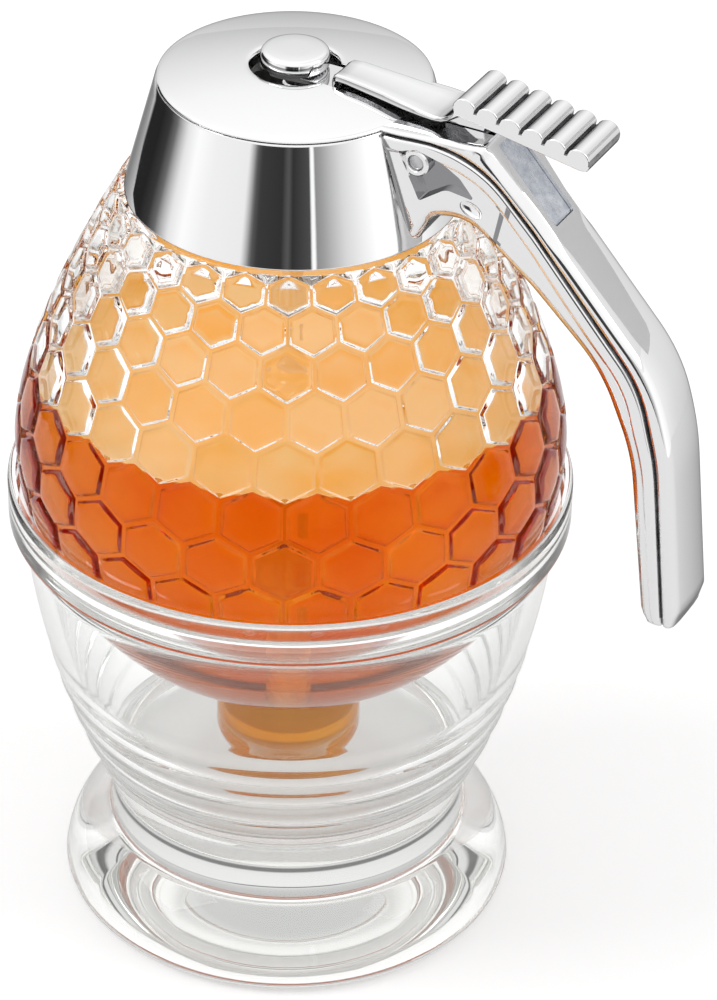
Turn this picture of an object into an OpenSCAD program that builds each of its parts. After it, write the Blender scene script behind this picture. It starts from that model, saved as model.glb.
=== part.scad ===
// Honey dispenser: a honeycomb jar that hangs in a glass stand, with a chromed
// lid, a curved handle and a thumb lever. The lever lifts a sprung rod, which
// opens the stopper in the nozzle under the jar.
// Millimetres. The origin is the centre of the stand's bottom face, +Z is up
// and +X points from the jar's axis to the handle.

/* [Stand] */
// Outer radius of the foot
foot_r = 36.5; // [33:0.5:40]
// Height of the foot
foot_h = 12.6; // [10:0.2:14]
// Radius of the waist above the foot
waist_r = 28.8; // [27:0.2:31]
// Height of the top of the waist
waist_z = 19.5; // [17:0.5:21]
// Height of the floor inside the cup
floor_z = 24; // [21:0.5:24]
// Height of the rim
rim_z = 77; // [75:0.5:82]
// Height of the band round the rim
band_h = 7.4; // [5:0.2:9]
// How far the band stands out from the cup below it
band_step = 2.3; // [1:0.1:3]
// Wall of the cup
stand_wall = 2.7; // [2:0.1:3]
// Gap between the jar and the rim of the stand
rim_gap = 0.5; // [0.3:0.1:1]
// Gap between the jar's bowl and its seat in the stand
seat_gap = 0.25; // [0.2:0.05:0.5]

/* [Jar] */
// Largest outer radius of the jar
belly_r = 42.4; // [40:0.2:44]
// Height of the jar's widest ring above the rim of the stand
belly_rise = 7; // [6:0.5:10]
// Depth of the bowl below the widest ring
bowl_h = 44; // [42:0.5:46]
// Height of the shoulder above the widest ring
shoulder_h = 42.4; // [38:0.5:50]
// Radius of the shoulder under the cap
shoulder_r = 26.4; // [26.2:0.1:28]
// Wall of the jar
jar_wall = 2.8; // [2:0.1:3.2]
// Outer radius of the nozzle
nozzle_r = 11.7; // [11:0.1:13]
// Depth of the nozzle's end below the widest ring
nozzle_drop = 57; // [55:0.5:59]
// Radius of the outlet hole
outlet_r = 5.2; // [4.8:0.1:5.6]
// Length of the outlet hole below the valve seat
outlet_h = 2; // [1.5:0.1:2.5]
// Outer radius of the neck
neck_r = 18.8; // [18:0.1:19]
// Height of the neck above the shoulder
neck_h = 6; // [5:0.2:6.4]
// Height that the bead stands out round the neck
bead_h = 0.7; // [0.3:0.1:0.8]

/* [Cap] */
// Outer radius of the cap at its foot
cap_foot_r = 25.4; // [25:0.1:26]
// Outer radius of the lid disc
cap_top_r = 20.4; // [20:0.1:21.5]
// Height of the cap from its foot to the lid's top face
cap_h = 18.6; // [18.2:0.2:22]
// Wall of the cap
cap_wall = 1.6; // [1:0.1:1.7]
// Gap between the cap's foot and the jar's shoulder
cap_gap = 0.2; // [0.2:0.1:1]
// Thickness of the lid disc at its edge
lid_edge = 0.6; // [0.4:0.1:1]
// Height of the lid's dome above its edge
lid_dome = 2; // [1:0.1:2.4]
// Wall of the lid round its hole
lid_wall = 2; // [1.4:0.1:2.4]
// Depth of the lid's spigot inside the cap
spigot_h = 1.1; // [0.8:0.1:1.2]
// Radius of the hole in the lid
lid_hole_r = 6.6; // [6:0.1:8]
// Gap between the lever's fork and the notch in the lid
notch_gap = 0.4; // [0.3:0.1:0.6]
// Thickness of the ring inside the cap that carries the lid
flange_t = 1.4; // [1.2:0.1:1.6]
// Radius of the hole in that ring
flange_hole_r = 8.6; // [7:0.1:9]
// Radius of the circle of screws that hold the lid
cover_screw_ring = 16.4; // [15.5:0.1:16.8]

/* [Handle] */
// Reach of the handle from the jar's axis
handle_reach = 68.9; // [66:0.5:74]
// Drop of the handle's end below the lid's top face
handle_drop = 72.8; // [64:0.5:76]
// Width of the handle
handle_w = 11.2; // [9:0.2:12]
// Width of the handle where it meets the cap
root_w = 16.6; // [15:0.2:18]
// Distance from the jar's axis to where the handle has its own width
taper_x = 42; // [38:0.5:48]
// Length of the flat top of the handle, from the jar's axis
brow_x = 34; // [33.8:0.1:36]
// Depth of the panel pressed into the handle's back
panel_depth = 0.8; // [0.4:0.1:0.9]
// Width of that panel
panel_w = 6; // [4:0.2:7]
// Length of that panel
panel_h = 14.4; // [8:0.2:18]
// Depth of the pocket in each side of the handle's root
pocket_depth = 1.9; // [1:0.1:2.4]

/* [Lever] */
// Distance of the pivot from the jar's axis
pivot_x = 23.8; // [23.4:0.1:24.4]
// Depth of the pivot below the lid's top face
pivot_drop = 4.8; // [4.6:0.1:5.2]
// Radius of the pivot pin
pin_r = 1.25; // [1:0.05:1.4]
// Running clearance of the lever on its pin
pin_clear = 0.05; // [0.03:0.01:0.08]
// Radius of the lever's hub
hub_r = 2.4; // [2.2:0.1:2.4]
// Width of the lever's hub and fin
fin_w = 3.8; // [3:0.1:4]
// Gap on each side of the lever's fin
fin_gap = 0.25; // [0.2:0.05:0.4]
// Width of the thumb pad
pad_w = 10.4; // [9:0.2:14]
// Width of the lever's arm at the fork
fork_w = 6.2; // [5.6:0.1:7]
// Thickness of the fork's prongs
prong_t = 1; // [0.8:0.1:1.1]
// Gap between the prongs and the lid, and between the prongs and the button
prong_gap = 0.35; // [0.3:0.05:0.4]
// Number of ribs on the thumb pad
rib_n = 6; // [4:1:6]
// Distance from rib to rib
rib_pitch = 3.6; // [3.4:0.05:3.6]
// Radius of a rib
rib_r = 1.9; // [1.7:0.05:1.95]

/* [Rod and button] */
// Radius of the rod
rod_r = 2; // [1.8:0.05:2.2]
// Radius of the rod's thinner ends
rod_end_r = 1.5; // [1.2:0.05:1.6]
// Running clearance of the rod in its bush
rod_clear = 0.05; // [0.03:0.01:0.08]
// Radius of the button
button_r = 5.1; // [4:0.1:5.6]
// Height of the button
button_h = 2.6; // [2:0.1:3]
// Height of the button's dome
button_dome = 0.5; // [0.3:0.1:0.8]

/* [Neck parts] */
// Wall of the screw liner
liner_wall = 1.3; // [1:0.1:1.3]
// Gap between the liner and the bead of the neck
liner_gap = 0.4; // [0.3:0.05:0.5]
// Thickness of the liner's web
web_t = 1.6; // [1.2:0.1:1.6]
// Thickness of the neck gasket
gasket_t = 1.4; // [1:0.1:1.5]
// Outer radius of the guide bush
bush_r = 5.15; // [4.6:0.05:5.4]
// Height of the guide bush above the liner's web
bush_h = 4; // [3.4:0.2:4.4]
// Radius of the bush's flange
bush_flange_r = 7.2; // [6.6:0.1:7.8]
// Radius of the circle of screws that hold the liner
liner_screw_ring = 11.8; // [11.6:0.1:12]
// Radius of a screw's shank
screw_r = 0.9; // [0.7:0.05:1]
// Radius of a screw's head
screw_head_r = 1.7; // [1.5:0.05:1.8]

/* [Spring] */
// Mean radius of the spring
spring_r = 3.4; // [3.2:0.05:3.6]
// Radius of the spring's wire
wire_r = 0.4; // [0.3:0.05:0.45]
// Number of curls
curls = 7; // [5:1:7]
// Length of the spring at rest
spring_h = 13.9; // [12.5:0.1:15]
// Thickness of the washer above the spring
spring_washer_t = 0.6; // [0.4:0.1:0.8]
// Thickness of the collar below the spring
collar_t = 1.2; // [1:0.1:1.6]
// Radius of the collar
collar_r = 5; // [4.4:0.1:6]
// Thickness of the clip under the collar
clip_t = 0.8; // [0.6:0.1:1]

/* [Stopper] */
// Height of the stopper's cone
cone_h = 3.6; // [3:0.1:4]
// Clearance between the stopper and its seat
stopper_gap = 0.3; // [0.25:0.05:0.4]
// Height of the straight part above the cone
stopper_top_h = 2.4; // [1.5:0.1:3]
// Thickness of the disc above the stopper
carrier_t = 1.6; // [1.2:0.1:2]
// Radius of the disc above the stopper
carrier_r = 6.5; // [5.5:0.1:7]
// Thickness of the washer under the stopper
stopper_washer_t = 0.6; // [0.4:0.1:0.8]
// Radius of the washer under the stopper
stopper_washer_r = 4.2; // [3.6:0.1:4.4]
// Height of the nut under the stopper
nut_h = 1.8; // [1.4:0.1:2]
// Width of the nut across its flats
nut_flats = 5.5; // [5:0.1:6]

/* [Hidden] */
$fn = 96;

// Every cut runs this far past the face that it opens
over = 1;
// A press fit's two faces lie this far apart
press = 0.02;
// Steps on each curve of a turned outline
steps = 10;

// Screws that hold the lid, and screws that hold the liner: number and turn
cover_screws_n = 4;
cover_turn = 45;
liner_screws_n = 3;
liner_turn = 60;
screw_head_h = 1.2;
// Depth of the lid's screws in its spigot
screw_bite = 1;
// Radius of the bosses round the liner's screws
liner_boss_r = 2.4;
// Gap between the liner and the cap's foot
liner_rise = 0.8;

// Heights, from the bottom up
belly_z = rim_z + belly_rise;
band_z = rim_z - band_h;
shoulder_z = belly_z + shoulder_h;
nozzle_z = belly_z - nozzle_drop;
seat_z = nozzle_z + outlet_h;
neck_z = shoulder_z + neck_h;
cap_z = shoulder_z + cap_gap;
lid_z = cap_z + cap_h;
cap_rim_z = lid_z - lid_edge;
flange_z = cap_rim_z - spigot_h - flange_t;
gasket_z = neck_z + 0.1;
web_z = gasket_z + gasket_t;
liner_top_z = web_z + web_t;
bush_z = web_z - gasket_t;
spring_top_z = bush_z - spring_washer_t;
collar_z = spring_top_z - spring_h - collar_t;
clip_z = collar_z - clip_t;
pivot_z = lid_z - pivot_drop;
prong_z = lid_z + prong_gap;
button_z = prong_z + prong_t + prong_gap;
rod_neck_z = lid_z - 1.3;
cone_z = seat_z;
stopper_z = seat_z - 0.4;
stopper_top_z = cone_z + cone_h + stopper_top_h;
carrier_z = stopper_top_z;

// Radii of the jar
body_top_r = belly_r + rim_gap + 1.2 - band_step;
neck_bore_r = neck_r - jar_wall;
chamber_r = nozzle_r - 2.5;
bead_r = neck_r + bead_h;
liner_bore_r = bead_r + liner_gap;
liner_r = liner_bore_r + liner_wall;
cone_slope = (cap_foot_r - cap_top_r) / cap_h;

// A point of the cubic curve through four control points
function curve_point(p, t) =
    pow(1 - t, 3) * p[0] + 3 * pow(1 - t, 2) * t * p[1]
    + 3 * (1 - t) * t * t * p[2] + pow(t, 3) * p[3];
function curve(p, n = steps) = [for (i = [0 : n]) curve_point(p, i / n)];

// An outline through corner points [x, z, radius], each corner an arc
function unit(v) = v / norm(v);
function corner(a, b, c, n) =
    let (
        u = unit([a[0] - b[0], a[1] - b[1]]),
        v = unit([c[0] - b[0], c[1] - b[1]]),
        half = acos(u * v) / 2,
        m = unit(u + v),
        centre = [b[0], b[1]] + m * b[2] / sin(half),
        side = u[0] * v[1] - u[1] * v[0] > 0 ? -1 : 1,
        sweep = 180 - 2 * half,
        from = -m
    )
    [for (i = [0 : n])
        let (a = side * sweep * (0.5 - i / n))
        centre + b[2] * [from[0] * cos(a) + from[1] * sin(a),
                         from[1] * cos(a) - from[0] * sin(a)]];
function rounded(p, n = 8) = [
    for (i = [0 : len(p) - 1])
        each (i == 0 || i == len(p) - 1 || p[i][2] == 0)
            ? [[p[i][0], p[i][1]]]
            : corner(p[i - 1], p[i], p[i + 1], n)
];
function reversed(p) = [for (i = [len(p) - 1 : -1 : 0]) p[i]];

// Outer radius of the jar's bowl at a height below the widest ring
function bowl_r(z) = belly_r * sqrt(max(0, 1 - pow((belly_z - z) / bowl_h, 2)));
// Outer radius of the cap at a height
function cap_r(z) = cap_foot_r - cone_slope * (z - cap_z);

// ---------------------------------------------------------------- stand

body_curve = curve([
    [waist_r, waist_z],
    [waist_r + 4.7, waist_z + 10.5],
    [body_top_r - 0.6, band_z - 20],
    [body_top_r, band_z]
], 14);
foot_curve = curve([
    [foot_r, 1.5], [foot_r - 0.9, 5.2],
    [waist_r + 3.5, foot_h - 3.2], [waist_r + 0.4, foot_h]
]);
band_r = body_top_r + band_step;

module stand_cup() {
    rim_in_r = belly_r + rim_gap;
    wall_in = [for (p = body_curve)
        if (p[1] > floor_z + 5.5 && p[1] < band_z)
            [max(p[0] - stand_wall, bowl_r(p[1]) + seat_gap), p[1]]];
    well = curve([
        [wall_in[0][0] - 7, floor_z], [wall_in[0][0] - 3.5, floor_z],
        [wall_in[0][0] - 1.2, floor_z + 2], wall_in[0]
    ], 6);
    seat = [for (i = [0 : 4])
        let (z = band_z + i / 4 * (band_h - 4))
        [min(rim_in_r, bowl_r(z) + seat_gap), z]];
    color("aliceblue")
    rotate_extrude()
    polygon(concat(
        [[0, 0], [foot_r - 1.2, 0]],
        foot_curve,
        [[waist_r, foot_h + 1]],
        body_curve,
        [[band_r - 0.4, band_z], [band_r, band_z + 0.8],
         [band_r, rim_z - 1.4], [band_r - 0.4, rim_z - 0.3],
         [band_r - 0.8, rim_z], [rim_in_r + 0.1, rim_z],
         [rim_in_r, rim_z - 0.3]],
        reversed(seat),
        reversed(wall_in),
        reversed([for (i = [0 : len(well) - 2]) well[i]]),
        [[0, floor_z]]
    ));
}

// ---------------------------------------------------------------- jar

module jar() {
    join_z = belly_z - bowl_h * sqrt(1 - pow((nozzle_r + 2) / belly_r, 2));
    in_r = belly_r - jar_wall;
    in_h = bowl_h - jar_wall;
    in_join_z = belly_z - in_h * sqrt(1 - pow((chamber_r + 1.5) / in_r, 2));
    join_angle = acos((nozzle_r + 2) / belly_r);
    in_join_angle = acos((chamber_r + 1.5) / in_r);
    bowl = [for (i = [0 : 16])
        let (a = join_angle * (1 - i / 16))
        [belly_r * cos(a), belly_z - bowl_h * sin(a)]];
    in_bowl = [for (i = [0 : 16])
        let (a = in_join_angle * (1 - i / 16))
        [in_r * cos(a), belly_z - in_h * sin(a)]];
    side = curve([
        [belly_r, belly_z], [belly_r, belly_z + 8],
        [shoulder_r + 9.9, shoulder_z - 18], [shoulder_r, shoulder_z - 0.6]
    ], 14);
    in_side = curve([
        [in_r, belly_z], [in_r, belly_z + 7.5],
        [shoulder_r + 7.4, shoulder_z - 19], [shoulder_r - 2.4, shoulder_z - 4]
    ], 14);
    ledge_z = shoulder_z - 2.2;
    chamber_z = seat_z + chamber_r - outlet_r;
    color("lightcyan")
    rotate_extrude()
    polygon(concat(
        [[outlet_r, nozzle_z], [nozzle_r - 1.2, nozzle_z],
         [nozzle_r - 0.4, nozzle_z + 0.4], [nozzle_r, nozzle_z + 1.4],
         [nozzle_r, join_z - 3], [nozzle_r + 0.6, join_z - 1.2]],
        bowl,
        [for (i = [1 : len(side) - 1]) side[i]],
        [[shoulder_r - 0.6, shoulder_z], [neck_r, shoulder_z],
         [neck_r, shoulder_z + 1.6], [bead_r, shoulder_z + 2],
         [bead_r, shoulder_z + 2.8], [neck_r, shoulder_z + 3.2],
         [neck_r, neck_z - 0.4], [neck_r - 0.4, neck_z],
         [neck_bore_r + 0.4, neck_z], [neck_bore_r, neck_z - 0.4],
         [neck_bore_r, ledge_z + 0.6], [neck_bore_r + 0.6, ledge_z],
         [shoulder_r - 3.4, ledge_z - 0.4]],
        reversed(in_side),
        reversed([for (i = [0 : len(in_bowl) - 2]) in_bowl[i]]),
        [[chamber_r, in_join_z - 2], [chamber_r, chamber_z], [outlet_r, seat_z]]
    ));
}

// ---------------------------------------------------------------- cap

// The handle's side outlines, as points [x, z] from the jar's axis and the
// lid's top face, with the corners' radii.
end_x = handle_reach;
end_z = lid_z - handle_drop;
knee = [end_x - 6.3, lid_z - 31.4];
// Distance from the jar's axis to where the root starts to narrow
root_x = 21;
back_line = rounded([
    [cap_top_r - 6, lid_z, 0],
    [brow_x, lid_z, 0.8],
    [knee[0], knee[1], 26],
    [end_x - 2.9, lid_z - 42.7, 50],
    [end_x, end_z + 2.9, 1.2],
    [end_x - 0.9, end_z, 1],
    [end_x - 2.5, end_z, 0]
]);
part_line = rounded([
    [cap_top_r - 6, cap_rim_z, 0],
    [brow_x - 1.8, cap_rim_z, 18],
    [end_x - 8.7, lid_z - 32.6, 20],
    [end_x - 5.3, lid_z - 45.2, 40],
    [end_x - 2.5, end_z, 0]
]);
belly_line = rounded([
    [cap_foot_r - 3, cap_z, 0],
    [cap_foot_r - 1.6, cap_z, 0],
    [cap_foot_r + 0.7, cap_z + 5.2, 2.2],
    [cap_foot_r + 6.2, cap_z + 6.4, 7],
    [end_x - 15.7, lid_z - 32.2, 24],
    [end_x - 10, lid_z - 45.2, 30],
    [end_x - 6.6, end_z + 1.6, 1.6],
    [end_x - 5.2, end_z, 0.8],
    [end_x - 2.5, end_z, 0]
]);

// Turns a side outline into a solid of width w about the handle's plane
module side_plate(points, w) {
    rotate([90, 0, 0])
    linear_extrude(height = w, center = true)
    polygon(points);
}

// The handle's plan: wide at the cap, then its own width
module handle_plan() {
    translate([0, 0, end_z - over])
    linear_extrude(height = lid_z - end_z + 2 * over)
    polygon([
        [0, -root_w / 2], [root_x, -root_w / 2], [taper_x, -handle_w / 2],
        [end_x + over, -handle_w / 2], [end_x + over, handle_w / 2],
        [taper_x, handle_w / 2], [root_x, root_w / 2], [0, root_w / 2]
    ]);
}

slot_x0 = pivot_x + 1.3;
notch_x = 9.6;
slot_x1 = brow_x - 0.3;
slot_w = fin_w + 2 * fin_gap;

module screw_places(ring, n, turn) {
    for (i = [0 : n - 1])
        rotate([0, 0, turn + i * 360 / n])
        translate([ring, 0, 0])
        children();
}

module lid_cover() {
    back_angle = atan((lid_z - knee[1]) / (knee[0] - brow_x));
    away = [sin(back_angle), cos(back_angle)];
    along = [cos(back_angle), -sin(back_angle)];
    start = [brow_x, lid_z] + along * 1.2;
    dome_r = (cap_top_r * cap_top_r + lid_dome * lid_dome) / (2 * lid_dome);
    color("silver")
    difference() {
        union() {
            intersection() {
                translate([0, 0, cap_rim_z])
                cylinder(h = lid_edge + lid_dome, r = cap_top_r);
                translate([0, 0, lid_z + lid_dome - dome_r])
                sphere(r = dome_r);
            }
            translate([0, 0, cap_rim_z - spigot_h])
            cylinder(h = spigot_h + lid_edge / 2, r = cap_top_r - cap_wall - 0.1);
            intersection() {
                side_plate(concat(back_line, reversed(part_line)), root_w + over);
                handle_plan();
            }
        }
        // The hollow under the dome, the hole and its notch for the fork
        intersection() {
            translate([0, 0, cap_rim_z - spigot_h - over])
            cylinder(h = spigot_h + lid_edge + lid_dome, r = cover_screw_ring - 3);
            translate([0, 0, lid_z + lid_dome - dome_r])
            sphere(r = dome_r - lid_wall);
        }
        translate([0, 0, cap_rim_z - spigot_h - over])
        cylinder(h = spigot_h + lid_edge + lid_dome + 2 * over, r = lid_hole_r);
        translate([0, -fork_w / 2 - notch_gap, cap_rim_z - spigot_h - over])
        cube([notch_x, fork_w + 2 * notch_gap, spigot_h + lid_edge + lid_dome + 2 * over]);
        translate([slot_x0, -slot_w / 2, pivot_z])
        cube([slot_x1 - slot_x0, slot_w, lid_z - pivot_z + over]);
        side_plate([
            start + away * over, start - away * panel_depth,
            start + along * panel_h - away * panel_depth,
            start + along * panel_h + away * over
        ], panel_w);
        screw_places(cover_screw_ring, cover_screws_n, cover_turn)
        translate([0, 0, cap_rim_z - spigot_h - over])
        cylinder(h = over + screw_bite + 0.1, r = screw_r + press);
    }
}

pocket = rounded([
    [pivot_x - 2.4, pivot_z + 1.8, 0],
    [pivot_x + 0.9, pivot_z - 5.7, 0],
    [pivot_x + 4.9, pivot_z - 3, 2],
    [pivot_x + 9.4, pivot_z - 4, 0],
    [pivot_x + 7, pivot_z - 0.8, 2],
    [pivot_x + 4, pivot_z + 1.3, 2],
    [pivot_x + 0.4, pivot_z + 2.6, 0]
], 4);
boss_y = root_w / 2 - 0.9;

module cap_body() {
    floor_y = root_w / 2 - 0.3 - pocket_depth;
    color("gainsboro")
    difference() {
        union() {
            difference() {
                union() {
                    translate([0, 0, cap_z])
                    cylinder(h = cap_rim_z - cap_z, r1 = cap_foot_r, r2 = cap_r(cap_rim_z));
                    intersection() {
                        side_plate(concat(part_line, reversed(belly_line)), root_w + over);
                        handle_plan();
                    }
                }
                for (side = [-1, 1])
                    translate([0, side * (floor_y + root_w / 2), 0])
                    side_plate(pocket, root_w);
            }
            rotate([90, 0, 0])
            translate([pivot_x, pivot_z, -boss_y])
            cylinder(h = 2 * boss_y, r = pin_r + 0.85);
        }
        // The hollow of the cone below the flange
        translate([0, 0, cap_z - over])
        cylinder(h = flange_z - cap_z + over,
                 r1 = cap_r(cap_z - over) - cap_wall, r2 = cap_r(flange_z) - cap_wall);
        // The seat of the lid's spigot, and the hole in the flange
        translate([0, 0, flange_z + flange_t])
        cylinder(h = spigot_h + over, r = cap_top_r - cap_wall);
        translate([0, 0, flange_z - over])
        cylinder(h = flange_t + 2 * over, r = flange_hole_r);
        // The space of the lever's hub and fin
        translate([pivot_x - hub_r - 1.4, -slot_w / 2, pivot_z - hub_r - 0.6])
        cube([slot_x1 - pivot_x + hub_r + 1.4, slot_w, cap_rim_z - pivot_z + hub_r + 0.6 + over]);
        rotate([90, 0, 0])
        translate([pivot_x, pivot_z, -root_w])
        cylinder(h = 2 * root_w, r = pin_r + press);
        screw_places(cover_screw_ring, cover_screws_n, cover_turn)
        translate([0, 0, flange_z - over])
        cylinder(h = flange_t + 2 * over, r = screw_r + press);
    }
    // Bosses that carry the liner
    color("gainsboro")
    difference() {
        screw_places(liner_screw_ring, liner_screws_n, liner_turn)
        translate([0, 0, liner_top_z])
        cylinder(h = flange_z + 0.2 - liner_top_z, r = liner_boss_r);
        screw_places(liner_screw_ring, liner_screws_n, liner_turn)
        translate([0, 0, liner_top_z - over])
        cylinder(h = flange_z - liner_top_z + 2 * over, r = screw_r + press);
    }
}

module cover_screws() {
    color("dimgray")
    screw_places(cover_screw_ring, cover_screws_n, cover_turn) {
        translate([0, 0, flange_z - screw_head_h])
        cylinder(h = screw_head_h, r = screw_head_r);
        translate([0, 0, flange_z])
        cylinder(h = flange_t + screw_bite, r = screw_r);
    }
}

module thread_liner() {
    color("white")
    difference() {
        translate([0, 0, cap_z + liner_rise])
        cylinder(h = liner_top_z - cap_z - liner_rise, r = liner_r);
        translate([0, 0, cap_z + liner_rise - over])
        cylinder(h = web_z - cap_z - liner_rise + over, r = liner_bore_r);
        translate([0, 0, web_z - over])
        cylinder(h = web_t + 2 * over, r = bush_r + press);
        screw_places(liner_screw_ring, liner_screws_n, liner_turn)
        translate([0, 0, web_z - over])
        cylinder(h = web_t + 2 * over, r = screw_r + press);
    }
}

module liner_screws() {
    color("dimgray")
    screw_places(liner_screw_ring, liner_screws_n, liner_turn) {
        translate([0, 0, web_z - screw_head_h])
        cylinder(h = screw_head_h, r = screw_head_r);
        translate([0, 0, web_z])
        cylinder(h = flange_z - web_z, r = screw_r);
    }
}

module neck_gasket() {
    color("ivory")
    translate([0, 0, gasket_z])
    difference() {
        cylinder(h = gasket_t, r = neck_r + 0.6);
        translate([0, 0, -over])
        cylinder(h = gasket_t + 2 * over, r = neck_bore_r + 0.2);
    }
}

seal_z = liner_top_z + bush_h / 2;
seal_wire_r = 0.6;

module guide_bush() {
    color("white")
    difference() {
        union() {
            translate([0, 0, bush_z])
            cylinder(h = gasket_t, r = bush_flange_r);
            translate([0, 0, bush_z + gasket_t])
            cylinder(h = web_t + bush_h, r = bush_r);
        }
        translate([0, 0, bush_z - over])
        cylinder(h = gasket_t + web_t + bush_h + 2 * over, r = rod_r + rod_clear);
        translate([0, 0, seal_z - seal_wire_r - 0.05])
        cylinder(h = 2 * seal_wire_r + 0.1, r = rod_r + rod_clear + 2 * seal_wire_r + 0.1);
    }
}

module guide_seal() {
    color("darkslategray")
    translate([0, 0, seal_z])
    rotate_extrude()
    translate([rod_r + rod_clear + seal_wire_r, 0])
    circle(r = seal_wire_r, $fn = 32);
}

module ring(r_out, r_in, h) {
    difference() {
        cylinder(h = h, r = r_out);
        translate([0, 0, -over])
        cylinder(h = h + 2 * over, r = r_in);
    }
}

module spring_washer() {
    color("silver")
    translate([0, 0, spring_top_z])
    ring(spring_r + wire_r + 0.8, rod_r + 0.4, spring_washer_t);
}

// The spring is one tube. Each end stands on its seat for one wire's width.
spring_low_z = spring_top_z - spring_h;
stub = 2 * wire_r;
pitch = (spring_h - 2 * stub) / curls;
ring_n = 8;
tube_n = 6;
spring_path = concat(
    [[spring_r, 0, spring_low_z]],
    [for (i = [0 : curls * ring_n])
        let (a = i * 360 / ring_n)
        [spring_r * cos(a), spring_r * sin(a), spring_low_z + stub + pitch * i / ring_n]],
    [[spring_r, 0, spring_top_z]]
);
spring_last = len(spring_path) - 1;
function tangent(i) =
    i == 0 || i == spring_last ? [0, 0, 1]
    : unit(unit(spring_path[i + 1] - spring_path[i]) + unit(spring_path[i] - spring_path[i - 1]));
// Rings face along the wire, and their first axis points away from the rod
function ring_points(i) =
    let (
        t = tangent(i),
        out = unit([spring_path[i][0], spring_path[i][1], 0]),
        side = unit(out - (out * t) * t),
        up = cross(t, side)
    )
    [for (k = [0 : tube_n - 1])
        spring_path[i] + wire_r * (cos(k * 360 / tube_n) * side + sin(k * 360 / tube_n) * up)];
// Least distance between two places on the wire that are half a curl apart or more
wire_gap = min([for (i = [0 : spring_last]) for (j = [i + ring_n / 2 + 1 : spring_last])
    norm(spring_path[i] - spring_path[j])]) - 2 * wire_r;
echo(least_gap_of_spring_to_itself = wire_gap);

module return_spring() {
    points = [for (i = [0 : spring_last]) each ring_points(i)];
    sides = [for (i = [0 : spring_last - 1]) for (k = [0 : tube_n - 1])
        let (
            a = i * tube_n + k, b = i * tube_n + (k + 1) % tube_n,
            c = a + tube_n, d = b + tube_n
        )
        each [[a, c, b], [b, c, d]]];
    foot = [for (k = [1 : tube_n - 2]) [0, k, k + 1]];
    head = [for (k = [1 : tube_n - 2])
        [spring_last * tube_n, spring_last * tube_n + k + 1, spring_last * tube_n + k]];
    color("silver")
    polyhedron(points = points, faces = concat(sides, foot, head));
}

module pivot_pin() {
    length = 2 * (boss_y - 0.3);
    color("darkgray")
    rotate([90, 0, 0])
    translate([pivot_x, pivot_z, -length / 2])
    cylinder(h = length, r = pin_r);
}

// ---------------------------------------------------------------- lever

fin_top_x = slot_x1 - 1.7;
prong_reach = 3;
pad_x = brow_x - 3.8;
pad_z = lid_z + 4.4;
pad_slope = 0.178;
pad_end = pad_x + (rib_n - 1) * rib_pitch;
function pad_line(x) = pad_z - pad_slope * (x - pad_x);
// Height of the lid's top face at a distance from the axis
function dome_top(x) = lid_z + lid_dome * (1 - pow(x / cap_top_r, 2));
tip_x = notch_x - 2.2;

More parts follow.
